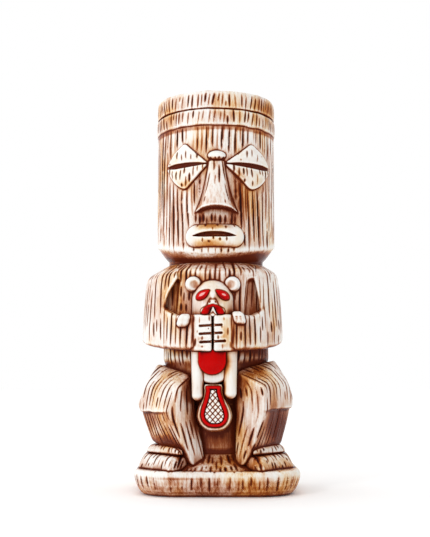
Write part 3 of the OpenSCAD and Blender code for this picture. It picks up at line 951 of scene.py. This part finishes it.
def build(piece, points, faces, broad):
    """Carves, shades and makes one piece."""
    points, normals = onto(piece.form, points, 2)
    paths = [path for cut in piece.cuts for path in place_cuts(piece.form, cut, points, normals)]
    moved, dark, halo_stain_and_shade = carve(points, normals, paths)
    close = np.clip(nearest_other(piece, points, 3.0), 0, 3)
    small = []
    for h in NEAR_HEIGHTS:
        above = points + h * normals
        small.append(openness(np.minimum(piece.form(above), nearest_other(piece, above, h)), h))
    large = [openness(broad(points + h * normals), h) for h in FAR_HEIGHTS]
    bend = mesh_bend(moved, normals, faces, piece.size)
    values = {
        "cut": np.clip(np.maximum(dark, 0.5 * piece.ink(points)), 0, 1),
        "halo_stain_and_shade": halo_stain_and_shade,
        "seam": np.maximum(1 - step(0.0, piece.seam, close), piece.ink(points)),
        "stain_and_shade_spot": spots(points, piece.stain_and_shade_spots),
        "amber": spots(points, piece.ambers),
        # crease: stain and painted shade where other surfaces close in within a few mm, in creases and
        # between parts
        "crease": 1 - (0.5 * small[0] + 0.5 * small[1]),
        # deep_stain_and_shade: stain and painted shade in broad hollows, plus painted shade on faces that
        # look down
        "deep_stain_and_shade": 1 - (0.45 * large[0] + 0.55 * large[1]) + 1.0 * np.clip(-normals[:, 2] - 0.08, 0, 1),
        "ridge": np.clip(bend * 14, -1, 1),
        "patch": patches(points),
    }
    mesh = bpy.data.meshes.new(piece.name)
    counts = np.concatenate([np.full(len(f), f.shape[1]) for f in faces])
    corners = np.concatenate([f.reshape(-1) for f in faces])
    mesh.vertices.add(len(moved))
    mesh.vertices.foreach_set("co", (moved * MM).astype(np.float32).ravel())
    mesh.loops.add(len(corners))
    mesh.loops.foreach_set("vertex_index", corners.astype(np.int32))
    mesh.polygons.add(len(counts))
    mesh.polygons.foreach_set("loop_start", (np.cumsum(counts) - counts).astype(np.int32))
    mesh.update(calc_edges=True)
    mesh.validate()
    mesh.shade_smooth()
    for key, v in values.items():
        mesh.attributes.new(key, "FLOAT", "POINT").data.foreach_set("value", v.astype(np.float32))
    piece_object = bpy.data.objects.new(piece.name, mesh)
    bpy.context.scene.collection.objects.link(piece_object)
    mesh.materials.append(MATERIALS[piece.slot])
    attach(piece_object, "root")
    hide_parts(*piece.nodes)
    return piece_object


def spots(p, places):
    """Soft spots on the front, each (x, z, half width, half height, amount) in mm."""
    total = np.zeros(len(p))
    for x, z, wide, high, amount in places:
        total += amount * np.exp(-(((p[:, 0] - x) / wide) ** 2 + ((p[:, 2] - z) / high) ** 2))
    return np.where(p[:, 1] < 12, total, 0)


def patches(p):
    """Where more or less stain was left: broad blotches, drawn out along the height."""
    broad = value_noise(p / np.array([11, 11, 22]), 5)
    fine = value_noise(p / np.array([4, 4, 9]), 6)
    return 0.5 + 0.5 * (0.6 * broad + 0.4 * fine)


# ---------------------------------------------------------------- how the grain runs

def upright(p, n):
    """Up the mug, with a slow sway."""
    sway = 0.1 * value_noise(p / np.array([9, 9, 16]), 41)
    return np.stack([sway * n[:, 1] * -1, sway * n[:, 0], np.ones(len(p))], axis=1)


def inward(p, n):
    """Up, and on level ground towards the mug's axis."""
    r = radius(p).clip(1)
    return np.stack([-p[:, 0] / r, -p[:, 1] / r, np.full(len(p), 1.3)], axis=1)


def leaning(p, n):
    """Up the bands, leaning one way and then the other."""
    sway = 0.4 * value_noise(p / np.array([11, 11, 60]), 43)
    return np.stack([sway * n[:, 1] * -1, sway * n[:, 0], np.ones(len(p))], axis=1)


def leg_flow(side):
    """Up and outwards on the shin, and inwards over the thigh."""
    def flow(p, n):
        lean = side * np.interp(p[:, 2], [40, 47, 57, 62], [0.35, 0.0, -0.2, -0.95])
        return np.stack([lean, np.zeros(len(p)), np.ones(len(p))], axis=1)
    return flow


def outside(p, n):
    """The outer skin, not the inside of the cup or a face that looks down."""
    return (n[:, 0] * p[:, 0] + n[:, 1] * p[:, 1] > -0.1 * radius(p)) & (n[:, 2] > -0.5)


def within(lo, hi):
    return lambda p, n: outside(p, n) & (p[:, 2] > lo) & (p[:, 2] < hi)


def both(first, second):
    return lambda p, n: first(p, n) & second(p, n)


def clear_of(margin, *names):
    """Keeps marks off the surface that other named pieces cover."""
    def test(p, n):
        ok = np.ones(len(p), bool)
        for piece in PIECES:
            if piece.name in names:
                ok &= (piece.form(p) > margin) | (p < piece.lo).any(axis=1) | (p > piece.hi).any(axis=1)
        return ok
    return test


# ---------------------------------------------------------------- glazes

class Nodes:
    """Small helper that adds nodes to a material and links them."""

    def __init__(self, name):
        self.material = bpy.data.materials.new(name)
        self.material.use_nodes = True
        self.tree = self.material.node_tree
        self.tree.nodes.clear()

    def add(self, kind, **settings):
        node = self.tree.nodes.new(kind)
        for key, value in settings.items():
            setattr(node, key, value)
        return node

    def link(self, a, b):
        self.tree.links.new(a, b)

    def put(self, target, value):
        if isinstance(value, bpy.types.NodeSocket):
            self.link(value, target)
        else:
            target.default_value = value

    def attribute(self, name):
        return self.add("ShaderNodeAttribute", attribute_name=name).outputs["Fac"]

    def math(self, operation, a, b=0.0, clamp=False):
        node = self.add("ShaderNodeMath", operation=operation, use_clamp=clamp)
        self.put(node.inputs[0], a)
        self.put(node.inputs[1], b)
        return node.outputs[0]

    def scaled(self, value, factor):
        return self.math("MULTIPLY", value, factor)

    def total(self, *values):
        out = values[0]
        for v in values[1:]:
            out = self.math("ADD", out, v)
        return out

    def noise(self, stretch, scale, detail=3.0, roughness=0.55):
        """Noise in the object's own metres, stretched by a factor along each axis."""
        place = self.add("ShaderNodeTexCoord").outputs["Object"]
        mapping = self.add("ShaderNodeMapping")
        mapping.inputs["Scale"].default_value = stretch
        self.link(place, mapping.inputs["Vector"])
        node = self.add("ShaderNodeTexNoise")
        self.link(mapping.outputs[0], node.inputs["Vector"])
        node.inputs["Scale"].default_value = scale
        node.inputs["Detail"].default_value = detail
        node.inputs["Roughness"].default_value = roughness
        return self.math("SUBTRACT", node.outputs["Fac"], 0.5)

    def ramp(self, value, stops):
        node = self.add("ShaderNodeValToRGB")
        self.put(node.inputs[0], value)
        elements = node.color_ramp.elements
        while len(elements) < len(stops):
            elements.new(0.5)
        for e, (at, colour) in zip(elements, stops):
            e.position, e.color = at, (*colour, 1)
        return node.outputs["Color"]

    def mix(self, factor, a, b):
        node = self.add("ShaderNodeMix", data_type="RGBA")
        self.put(node.inputs[0], factor)
        for i, value in ((6, a), (7, b)):
            self.put(node.inputs[i], value if isinstance(value, bpy.types.NodeSocket) else (*value, 1))
        return node.outputs[2]


def srgb(r, g, b):
    return tuple(((c / 255 + 0.055) / 1.055) ** 2.4 if c > 10 else c / 255 / 12.92 for c in (r, g, b))


CUT_INK = srgb(42, 16, 14)
STAIN = [(0.0, srgb(244, 242, 238)), (0.2, srgb(238, 229, 221)), (0.38, srgb(220, 191, 172)),
         (0.56, srgb(188, 133, 104)), (0.74, srgb(146, 78, 48)), (1.0, srgb(96, 36, 20))]
WARM_STAIN = [(0.0, srgb(245, 240, 230)), (0.2, srgb(239, 223, 197)), (0.38, srgb(226, 184, 134)),
              (0.56, srgb(200, 132, 68)), (0.74, srgb(154, 76, 30)), (1.0, srgb(100, 38, 16))]
# Red's pale pink at zero shows mainly where the painted highlights on the beaver's eyes take the stain below
# the red base.
RED_STAIN = [(0.0, srgb(238, 170, 165)), (0.1, srgb(206, 8, 6)), (0.62, srgb(188, 5, 5)),
             (0.82, srgb(126, 5, 5)), (1.0, srgb(40, 5, 5))]
GLOSS = 0.045


def glaze(name, cool, warm, base, spread, seam_ink):
    """A glossy glaze over stain that has run into every hollow and cut, with painted shade added in the
    hollows and creases and on faces that look down.
    """
    n = Nodes(name)
    streak = n.noise((1, 1, 0.09), 900, 3.0)
    fine = n.noise((1, 1, 0.3), 2400, 2.0)
    cloud = n.noise((1, 1, 0.5), 120, 3.0)
    stain = n.total(
        # Crease, deep and the cuts' spread add painted shade to the stain; the spots add painted shade and,
        # below zero, painted highlight.
        n.scaled(n.attribute("crease"), 0.5),
        n.scaled(n.attribute("deep_stain_and_shade"), 0.55),
        n.attribute("stain_and_shade_spot"),
        n.scaled(n.attribute("amber"), 0.22),
        n.scaled(n.attribute("cut"), 0.55),
        n.scaled(n.attribute("halo_stain_and_shade"), 0.5),
        n.math("MULTIPLY", n.attribute("seam"), n.math("ADD", n.scaled(cloud, 1.4), seam_ink)),
        n.scaled(n.attribute("ridge"), -0.36),
        n.scaled(n.math("SUBTRACT", n.attribute("patch"), 0.5), 0.5 * spread),
        n.scaled(streak, 0.7 * spread),
        n.scaled(fine, 0.25 * spread),
        n.scaled(cloud, 0.4 * spread),
        base)
    drift = n.scaled(n.noise((1, 1, 0.5), 60, 2.0), 5.0)
    hue = n.math("ADD", drift, n.math("ADD", n.attribute("amber"), 0.1), clamp=True)
    colour = n.mix(hue, n.ramp(stain, cool), n.ramp(stain, warm))
    grit = n.math("ADD", n.scaled(fine, 1.2), -0.9)
    ink = n.math("ADD", n.scaled(n.attribute("cut"), 2.2), grit, clamp=True)
    colour = n.mix(ink, colour, CUT_INK)
    shader = n.add("ShaderNodeBsdfPrincipled")
    n.link(colour, shader.inputs["Base Color"])
    rough = n.total(n.scaled(cloud, 0.12), n.scaled(n.attribute("cut"), 0.3), 0.2)
    n.link(rough, shader.inputs["Roughness"])
    shader.inputs["Specular IOR Level"].default_value = GLOSS
    bump = n.add("ShaderNodeBump")
    bump.inputs["Strength"].default_value = 0.25
    bump.inputs["Distance"].default_value = 0.0004
    n.link(n.total(streak, n.scaled(cloud, 0.6)), bump.inputs["Height"])
    n.link(bump.outputs[0], shader.inputs["Normal"])
    out = n.add("ShaderNodeOutputMaterial")
    n.link(shader.outputs[0], out.inputs[0])
    return n.material


MATERIALS = {
    CREAM: glaze(CREAM, STAIN, WARM_STAIN, 0.24, 1.0, 0.75),
    WHITE: glaze(WHITE, STAIN, WARM_STAIN, 0.13, 0.5, 0.7),
    RED: glaze(RED, RED_STAIN, RED_STAIN, 0.5, 0.25, 0.8),
}


# ---------------------------------------------------------------- the pieces of the mug

UPPER_LID = [(-13.2, 0.5), (-8, 5.4), (-3.4, 9.6), (0.2, 12.4), (3.8, 10.4), (8, 7.4), (11.8, 3.2),
             (13.2, 0.6), (7, 1.1), (0, 1.2), (-7, 0.9)]
LOWER_LID = [(-13.2, -0.5), (-9.2, -5.2), (-5, -9.6), (-0.4, -14.0), (4.6, -12.2), (9, -8.2), (12, -3.9),
             (13.2, -0.8), (7, -1.5), (0, -1.4), (-7, -0.9)]
FACE_PARTS = ("nose", "lips", "brow_bead", "left_upper_lid", "left_lower_lid", "right_upper_lid",
              "right_lower_lid")


def head_cuts(p, n):
    """The head between the jaw, which dips in front, and the headbands."""
    jaw = CHIN_SIDE_Z + 0.5 - 7 * np.clip(np.cos(turn_of(p)), 0, 1)
    return outside(p, n) & (p[:, 2] > jaw) & (p[:, 2] < FACE_TOP_Z - 0.8)


def philtrum(p, n):
    return outside(p, n) & (np.abs(p[:, 0]) < 12) & (p[:, 2] > 151.6) & (p[:, 2] < 158.2) & (p[:, 1] < 0)


def under_lips(p, n):
    return outside(p, n) & (np.abs(p[:, 0] + 1) < 13) & (p[:, 2] > 134.8) & (p[:, 2] < 138.8) & (p[:, 1] < 0)


def slits(p):
    """The shut eyes and the mouth's opening, which stay full of stain."""
    turn = np.degrees(turn_of(p))
    wide = np.minimum(np.maximum(-51 - turn, turn + 8.6), np.maximum(9 - turn, turn - 59)) * HEAD_R / 57.3
    eyes = np.maximum(np.abs(p[:, 2] - EYE_Z + 0.1) - 1.6, wide)
    height = np.abs(p[:, 2] - (LIPS_LO[2] + LIPS_HI[2]) / 2 - 0.5)
    mouth = np.maximum(height - 2.2, np.abs(p[:, 0] + 0.8) - 11.5)
    ink = (1 - step(-0.2, 0.5, eyes)) + 0.3 * (1 - step(-0.2, 0.5, mouth))
    return np.where(p[:, 1] < 0, ink, 0)


def tail_ink(p):
    """The crossing lines between the tail's scales."""
    return 0.85 - 0.85 * step(0.03, 0.27, tail_lattice(p))


def low_on_bead(p, n):
    return (p[:, 2] < (BEAD_LO + BEAD_HI)[2] / 2 - 0.6) & (n[:, 1] < -0.3)


def nose_flanks(p, n):
    return outside(p, n) & ((np.abs(p[:, 0]) > 5) | (p[:, 2] > 174))


def chest_but_left_pit(p, n):
    return outside(p, n) & (p[:, 2] > 99) & (p[:, 2] < 131) & ((p[:, 0] > -25.5) | (p[:, 2] > 121))


def plinth_top(p, n):
    return (n[:, 2] > 0.6) & (radius(p) > 30.6) & (p[:, 2] > 13.2)


# Painted highlights: negative spots that turn the red glaze of the beaver's eyes pale pink where a reflection
# would sit.
PAINTED_EYE_HIGHLIGHTS = [(GRIP_X - 5.4, 110.8, 2.8, 1.3, -0.5), (GRIP_X + 5.9, 110.7, 2.0, 0.7, -0.42)]
BAND_AMBERS = [(-28, 220, 6, 8, 0.9), (-1, 220, 6, 9, 0.7), (30, 223, 6, 5, 1.0)]
# The last spot is painted shade along the top of the rim.
BAND_STAIN_AND_SHADE_SPOTS = [(-28, 220, 6, 8, 0.03), (-1, 220, 6, 9, 0.02), (30, 223, 6, 5, 0.06),
              (0, 231.2, 60, 1.2, 0.5)]
# Darker spots are stain and painted shade, deepest in the right leg's recess; negative amounts lighten the
# inner faces.
LEG_STAIN_AND_SHADE_SPOTS = [(-14.5, 50, 4, 14, -0.25), (-10, 32, 4, 8, -0.15), (15, 50, 5, 16, -0.12), (-36, 40, 6, 7, 0.2),
             (-32, 55, 8, 6, 0.08), (35, 37, 6.5, 11, 0.74), (-30, 30, 7, 3, 0.2)]
LEG_AMBERS = [(-36, 38, 6, 8, 0.2), (36, 37, 6, 11, 1.0), (14, 40, 4, 20, 0.8), (-30, 29, 6, 3, 1.0),
              (22, 68, 8, 4, 0.7)]
BARE_FACE = both(head_cuts, clear_of(0.9, *FACE_PARTS))
BARE_CHEST = both(within(86, 128), clear_of(0.6, "chest", "left_arm", "right_arm"))

vessel = Piece(
    "vessel_body", vessel_form, ["vessel", "chin"], ink=slits, seam=0.8,
    cuts=[
        Cut(upright, philtrum, gap=1.9, length=(3, 5), tries=300, least=2, width=0.5, depth=0.4),
        Cut(upright, under_lips, gap=3.0, length=(2, 3.2), tries=200, least=1.4, width=0.5, depth=0.4),
        Cut(upright, BARE_FACE, gap=2.5, length=(12, 60), tries=2200, least=7, width=0.6, dark=1.15),
        Cut(upright, BARE_FACE, gap=1.7, length=(8, 30), tries=1500, least=5, width=0.5, depth=0.2,
            dark=0.42),
        Cut(upright, within(70, 84), gap=2.2, length=(6, 12), tries=500, least=3, dark=1.1),
        Cut(upright, BARE_CHEST, gap=2.4, length=(8, 30), tries=300, least=4),
    ],
    # Painted shade on the right of the waist, between the legs, under the chin on the right and beside the
    # nose on the right; negative spots lighten the left of the waist, under the chin and other places.
    stain_and_shade_spots=[(27, 78, 9, 7, 0.4), (-26, 78, 8, 6, -0.52), (0, 38, 12, 16, 0.45), (24, 134, 16, 3.5, 0.5),
           (-8, 132.6, 16, 3, -0.35), (13.5, 170, 4, 12, 0.3), (0, 155.5, 9, 2, -0.15),
           (20, 150, 8, 10, 0.06), (0, 205, 50, 4, -0.14), (0, 139.5, 40, 3.2, 0.13)],
    ambers=[(-28, 77, 6, 5, 1.0), (3, 30, 8, 8, 0.6), (-16, 178, 5, 8, 0.3), (16, 172, 5, 9, 0.6)])
PIECES += [
    vessel,
    Piece("upper_band", ring_form(HEAD_R - WALL + 0.2, HEAD_R + 0.1, BAND_Z + 0.1, RIM_Z + 0.7, 0.9, 1),
          ["upper_headband"], stain_and_shade_spots=BAND_STAIN_AND_SHADE_SPOTS, ambers=BAND_AMBERS, cuts=[
              Cut(leaning, within(BAND_Z + 0.2, RIM_Z - 0.8), gap=1.9, length=(6, 11), tries=900, least=3.5,
                  width=0.46, dark=0.9)]),
    Piece("lower_band", ring_form(HEAD_R - 3.2, HEAD_R + 0.4, FACE_TOP_Z, BAND_Z - 0.1, 1.3, 2),
          ["lower_headband"], stain_and_shade_spots=BAND_STAIN_AND_SHADE_SPOTS, ambers=BAND_AMBERS, cuts=[
              Cut(leaning, within(FACE_TOP_Z + 0.2, BAND_Z - 0.4), gap=2.0, length=(5, 10), tries=900,
                  least=3.5, width=0.46, dark=0.9)]),
    Piece("brow_bead", bead_form, ["brow_bead"], WHITE, cuts=[
        Cut(upright, low_on_bead, gap=1.9, length=(1, 2.2), tries=80, least=0.9, width=0.42, depth=0.3,
            dark=1.2)]),
    Piece("nose", nose_form, ["nose"],
          # Painted shade on the nose's flanks, more on the right.
          stain_and_shade_spots=[(10.5, 168, 3, 11, 0.34), (-10, 168, 2.5, 10, 0.18)], ambers=[(10.5, 168, 4, 11, 0.6)],
          cuts=[Cut(upright, nose_flanks, gap=2.2, length=(4, 14), width=0.42, depth=0.35, tries=200)]),
    Piece("lips", lips_form, ["lips"], WHITE,
          stain_and_shade_spots=[(-2, 150.5, 9, 1.8, 0.16), (-5, 141.5, 7, 2, 0.1)],
          ambers=[(-2, 150, 9, 2.5, 1.0), (-5, 141.5, 7, 2, 0.9)], cuts=[
              Cut(upright, both(outside, lambda p, n: np.abs(p[:, 0]) < 11), gap=2.6, length=(2, 3.2),
                  width=0.4, depth=0.3, tries=60, least=1.2, dark=1.0)]),
    Piece("chest", chest_form, ["chest"], margin=12.0, joins=("left_arm", "right_arm"),
          # Painted shade in the right armpit; a negative spot lightens the left armpit.
          stain_and_shade_spots=[(-28, 107, 5, 10, -0.2), (-18, 108, 5, 10, 0.12), (21, 109, 4, 12, 0.24),
                 (12, 108, 3, 8, 0.15)],
          ambers=[(-20, 109, 5, 10, 0.6), (12, 125, 4, 4, 0.8)], cuts=[
              Cut(upright, chest_but_left_pit, gap=2.2, length=(6, 18), tries=900, width=0.55, least=4.5)]),
    Piece("seat", seat_form, ["seat"], box=((-42, 0, 15), (42, 42, 75)),
          cuts=[Cut(upright, within(24, 72), gap=3.0, length=(5, 22), tries=500)]),
    Piece("plinth", plinth_form, ["plinth"], size=VOXEL * 1.35,
          stain_and_shade_spots=[(0, 3, 70, 8, 0.14), (-20, 10.4, 15, 0.8, 0.4), (0, 19, 22, 3.5, 0.1)],
          ambers=[(0, 2, 60, 5, 0.35), (4, 19, 14, 3, 0.7)], cuts=[
              Cut(inward, plinth_top, gap=2.0, length=(3, 8), tries=1500, least=2, width=0.5),
              Cut(upright, within(1.0, 11.5), gap=4.0, length=(6, 12), width=0.42, tries=900, least=3,
                  dark=0.9),
              Cut(upright, within(1.0, 11.5), gap=1.8, length=(4, 10), width=0.36, depth=0.15, tries=900,
                  least=3, dark=0.28)]),
    Piece("beaver_head", beaver_head_form, ["beaver_head"], WHITE, seam=0.55),
    Piece("beaver_muzzle", muzzle_form, ["beaver_muzzle"], WHITE, seam=0.55),
    Piece("beaver_mouth", mouth_form, ["beaver_mouth"], RED, seam=0.55),
    Piece("beaver_teeth", teeth_form, ["beaver_teeth"], WHITE, seam=0.55),
    Piece("beaver_body", beaver_body_form, ["beaver_body"], WHITE, seam=0.55, stain_and_shade_spots=[(-2, 63, 12, 8, -0.25)]),
    Piece("belly_panel", belly_form, ["beaver_belly_panel"], RED, seam=0.55),
    Piece("beaver_tail", tail_form, ["beaver_tail"], seam=0.55),
    Piece("tail_border", tail_border_form, ["beaver_tail_border"], RED, seam=0.55),
    Piece("tail_scales", tail_scales_form, ["beaver_tail_scales"], WHITE, size=VOXEL * 0.7, seam=0.4,
          ink=tail_ink),
]
for side, name in ((-1, "left"), (1, "right")):
    foot = reaching_out(block_form(node_points(name + "_foot"), 20, 0.8, 0.6), side * 1.4)
    eye_x = GRIP_X + side * 5.5
    PIECES += [
        Piece(name + "_upper_lid", lid_form(side, UPPER_LID, 1.9), [name + "_upper_eyelid"], WHITE, cuts=[
            Cut(upright, outside, gap=2.5, length=(2, 5), width=0.45, depth=0.35, tries=70, least=1.4,
                dark=1.15)]),
        Piece(name + "_lower_lid", lid_form(side, LOWER_LID, 1.9), [name + "_lower_eyelid"], WHITE,
              stain_and_shade_spots=[(13, 180, 4, 5, 0.2), (-17, 175, 6, 2.5, 0.15)],
              ambers=[(13, 180, 4, 6, 1.0), (-17, 175, 6, 3, 1.0)], cuts=[
                  Cut(upright, outside, gap=2.1, length=(2.5, 7), width=0.45, depth=0.4, tries=110, least=1.6,
                      dark=1.2)]),
        Piece(name + "_arm", arm_form(side), [name + "_arm"], joins=("chest",), cuts=[
            Cut(upright, within(80, 130), gap=2.6, length=(8, 30), tries=1300, width=0.58, least=5)]),
        Piece(name + "_hand", hand_form(side), [name + "_hand"], WHITE, seam=0.7,
              stain_and_shade_spots=[(side * 6 - 2, 85, 3, 4, 0.25)], ambers=[(5, 90, 2.4, 8, 1.0), (-9, 85, 3, 3, 0.6)],
              cuts=[
                  Cut(upright, both(outside, lambda p, n: n[:, 1] < -0.7), gap=3.0, length=(2, 5), width=0.4,
                      depth=0.3, tries=30, least=1.5, dark=0.8)]),
        Piece(name + "_leg", leg_form(name), [name + "_thigh", name + "_shin"], stain_and_shade_spots=LEG_STAIN_AND_SHADE_SPOTS,
              ambers=LEG_AMBERS, cuts=[
                  Cut(leg_flow(side), within(18, 74), gap=2.4, length=(7, 20), tries=1300, width=0.52,
                      least=5)]),
        Piece(name + "_ankle", ankle_form(name, side), [name + "_ankle"], cuts=[
            Cut(inward, outside, gap=2.4, length=(2, 4), tries=150, least=1.6)]),
        Piece(name + "_foot", foot, [name + "_foot"],
              stain_and_shade_spots=[(-31, 19, 9, 5, -0.22), (30, 18, 10, 5, -0.1)], ambers=[(30, 18, 10, 5, 0.6)], cuts=[
                  Cut(inward, within(13.8, 23), gap=5.2, length=(6, 12), tries=500, least=4, width=0.85,
                      depth=0.8, dark=1.3),
                  Cut(inward, within(13.8, 23), gap=2.6, length=(2.5, 6), tries=300, least=2, width=0.45)]),
        Piece(f"beaver_{name}_ear", ear_form(side), [f"beaver_{name}_ear"], WHITE,
              stain_and_shade_spots=[(GRIP_X + side * 8.8, 115.6, 2.6, 2.6, 0.22)]),
        Piece(f"beaver_{name}_eye", eye_form(side), ["beaver_eyes"], RED, seam=0.6, stain_and_shade_spots=PAINTED_EYE_HIGHLIGHTS,
              box=((eye_x - 5.5, -50, 105), (eye_x + 5.5, -38, 117))),
        Piece(f"beaver_{name}_paw", paw_form(side), [f"beaver_{name}_paw"]),
        Piece(f"beaver_{name}_leg", beaver_leg_form(side), [f"beaver_{name}_leg"], WHITE, seam=0.6,
              stain_and_shade_spots=[(6, 73, 2.5, 6, 0.2), (-10, 60, 2, 4, 0.08)], ambers=[(6, 73, 2.5, 6, 1.0)]),
    ]


# ---------------------------------------------------------------- the vessel's own mesh

def vessel_mesh():
    """Rings of points, from the foot up the outside, over the rim and down into the cup."""
    step_z = 0.85
    count = 540
    turns = np.linspace(-math.pi, math.pi, count, endpoint=False)
    outer_z = np.concatenate([np.arange(3, 18, 5.0), np.arange(18, 68, 4.0), np.arange(68, 88, step_z),
                              np.arange(88, 128, 4.0), np.arange(128, FACE_TOP_Z, step_z),
                              np.arange(FACE_TOP_Z, RIM_Z - 1.2, 6.0)])
    rim_z = RIM_Z - 1.2
    inner_z = np.arange(rim_z, FLOOR_Z + 3, -8.0)
    rows = [(vessel_radius(turns, np.full(count, z)), z) for z in outer_z]
    rows += [(np.full(count, float(CAVITY_R(z))), z) for z in inner_z]
    rows += [(np.full(count, r), FLOOR_Z) for r in (float(CAVITY_R(FLOOR_Z)) - 2.0, 16, 8)]
    rings = [np.stack([r * np.sin(turns), -r * np.cos(turns), np.full(count, z)], axis=1) for r, z in rows]
    points = np.concatenate([*rings, [[0, 0, 3], [0, 0, FLOOR_Z]]])
    quads, ends = lathe_grid(turns, len(rows))
    return points, [quads, ends]


broad = whole_field()
for piece in PIECES:
    if piece is vessel:
        points, faces = vessel_mesh()
    else:
        points, quads = surface_net(piece.form, piece.lo, piece.hi, piece.size)
        faces = [quads]
    build(piece, points, faces, broad)


# ---------------------------------------------------------------- floor, light and camera, in metres

FLOOR_HALF = 6
CAMERA_AT = Vector((-0.0006, -0.5653, 0.063))
CAMERA_AIM = Vector((-0.0006, 0, 0.13065))
LENS = 63.05                        # mm
SKY = 0.725                         # how bright the studio is on the level
SKY_LEAN = (-0.22, 0.275, 0.5)      # and how much brighter it is each way


def stage():
    floor_mesh = bpy.data.meshes.new("floor")
    corners = [(x * FLOOR_HALF, y * FLOOR_HALF, 0) for x, y in ((-1, -1), (1, -1), (1, 1), (-1, 1))]
    floor_mesh.from_pydata(corners, [], [(0, 1, 2, 3)])
    floor = bpy.data.objects.new("floor", floor_mesh)
    bpy.context.scene.collection.objects.link(floor)
    n = Nodes("pale_floor")
    shader = n.add("ShaderNodeBsdfPrincipled")
    cloud = n.math("ADD", n.noise((1, 1, 1), 2, 2.0), 0.5)
    colour = n.ramp(cloud, [(0, (0.98, 0.98, 0.98)), (1, (1.0, 1.0, 1.0))])
    n.link(colour, shader.inputs["Base Color"])
    shader.inputs["Roughness"].default_value = 0.6
    shader.inputs["Specular IOR Level"].default_value = 0.0
    out = n.add("ShaderNodeOutputMaterial")
    n.link(shader.outputs[0], out.inputs[0])
    floor_mesh.materials.append(n.material)


def area_light(name, location, aim, size, power):
    light = bpy.data.lights.new(name, "AREA")
    light.shape = "DISK"
    light.size = size
    light.energy = power
    lamp = bpy.data.objects.new(name, light)
    lamp.location = location
    lamp.rotation_euler = (Vector(aim) - Vector(location)).to_track_quat("-Z", "Y").to_euler()
    bpy.context.scene.collection.objects.link(lamp)


def camera():
    data = bpy.data.cameras.new("camera")
    data.lens = LENS
    data.clip_end = 20
    cam = bpy.data.objects.new("camera", data)
    cam.location = CAMERA_AT
    cam.rotation_euler = (CAMERA_AIM - CAMERA_AT).to_track_quat("-Z", "Y").to_euler()
    bpy.context.scene.collection.objects.link(cam)
    bpy.context.scene.camera = cam


def world():
    """A white studio: full white as a backdrop, and as a light brighter from above, behind and the left."""
    w = bpy.data.worlds.new("studio")
    bpy.context.scene.world = w
    w.use_nodes = True
    tree = w.node_tree
    background = tree.nodes["Background"]
    background.inputs["Color"].default_value = (1, 1, 1, 1)
    way = tree.nodes.new("ShaderNodeTexCoord").outputs["Generated"]
    lean = tree.nodes.new("ShaderNodeVectorMath")
    lean.operation = "DOT_PRODUCT"
    lean.inputs[1].default_value = SKY_LEAN
    tree.links.new(way, lean.inputs[0])
    light = tree.nodes.new("ShaderNodeMath")
    light.operation = "ADD"
    light.inputs[1].default_value = SKY
    tree.links.new(lean.outputs["Value"], light.inputs[0])
    seen = tree.nodes.new("ShaderNodeLightPath").outputs["Is Camera Ray"]
    strength = tree.nodes.new("ShaderNodeMix")
    tree.links.new(seen, strength.inputs[0])
    tree.links.new(light.outputs[0], strength.inputs[2])
    strength.inputs[3].default_value = 1.0
    tree.links.new(strength.outputs[0], background.inputs["Strength"])


stage()
area_light("key", (-0.62, -0.85, 0.5), (0, 0, 0.12), 0.2, 2.4)
camera()
world()
bpy.context.scene.view_settings.view_transform = "Standard"
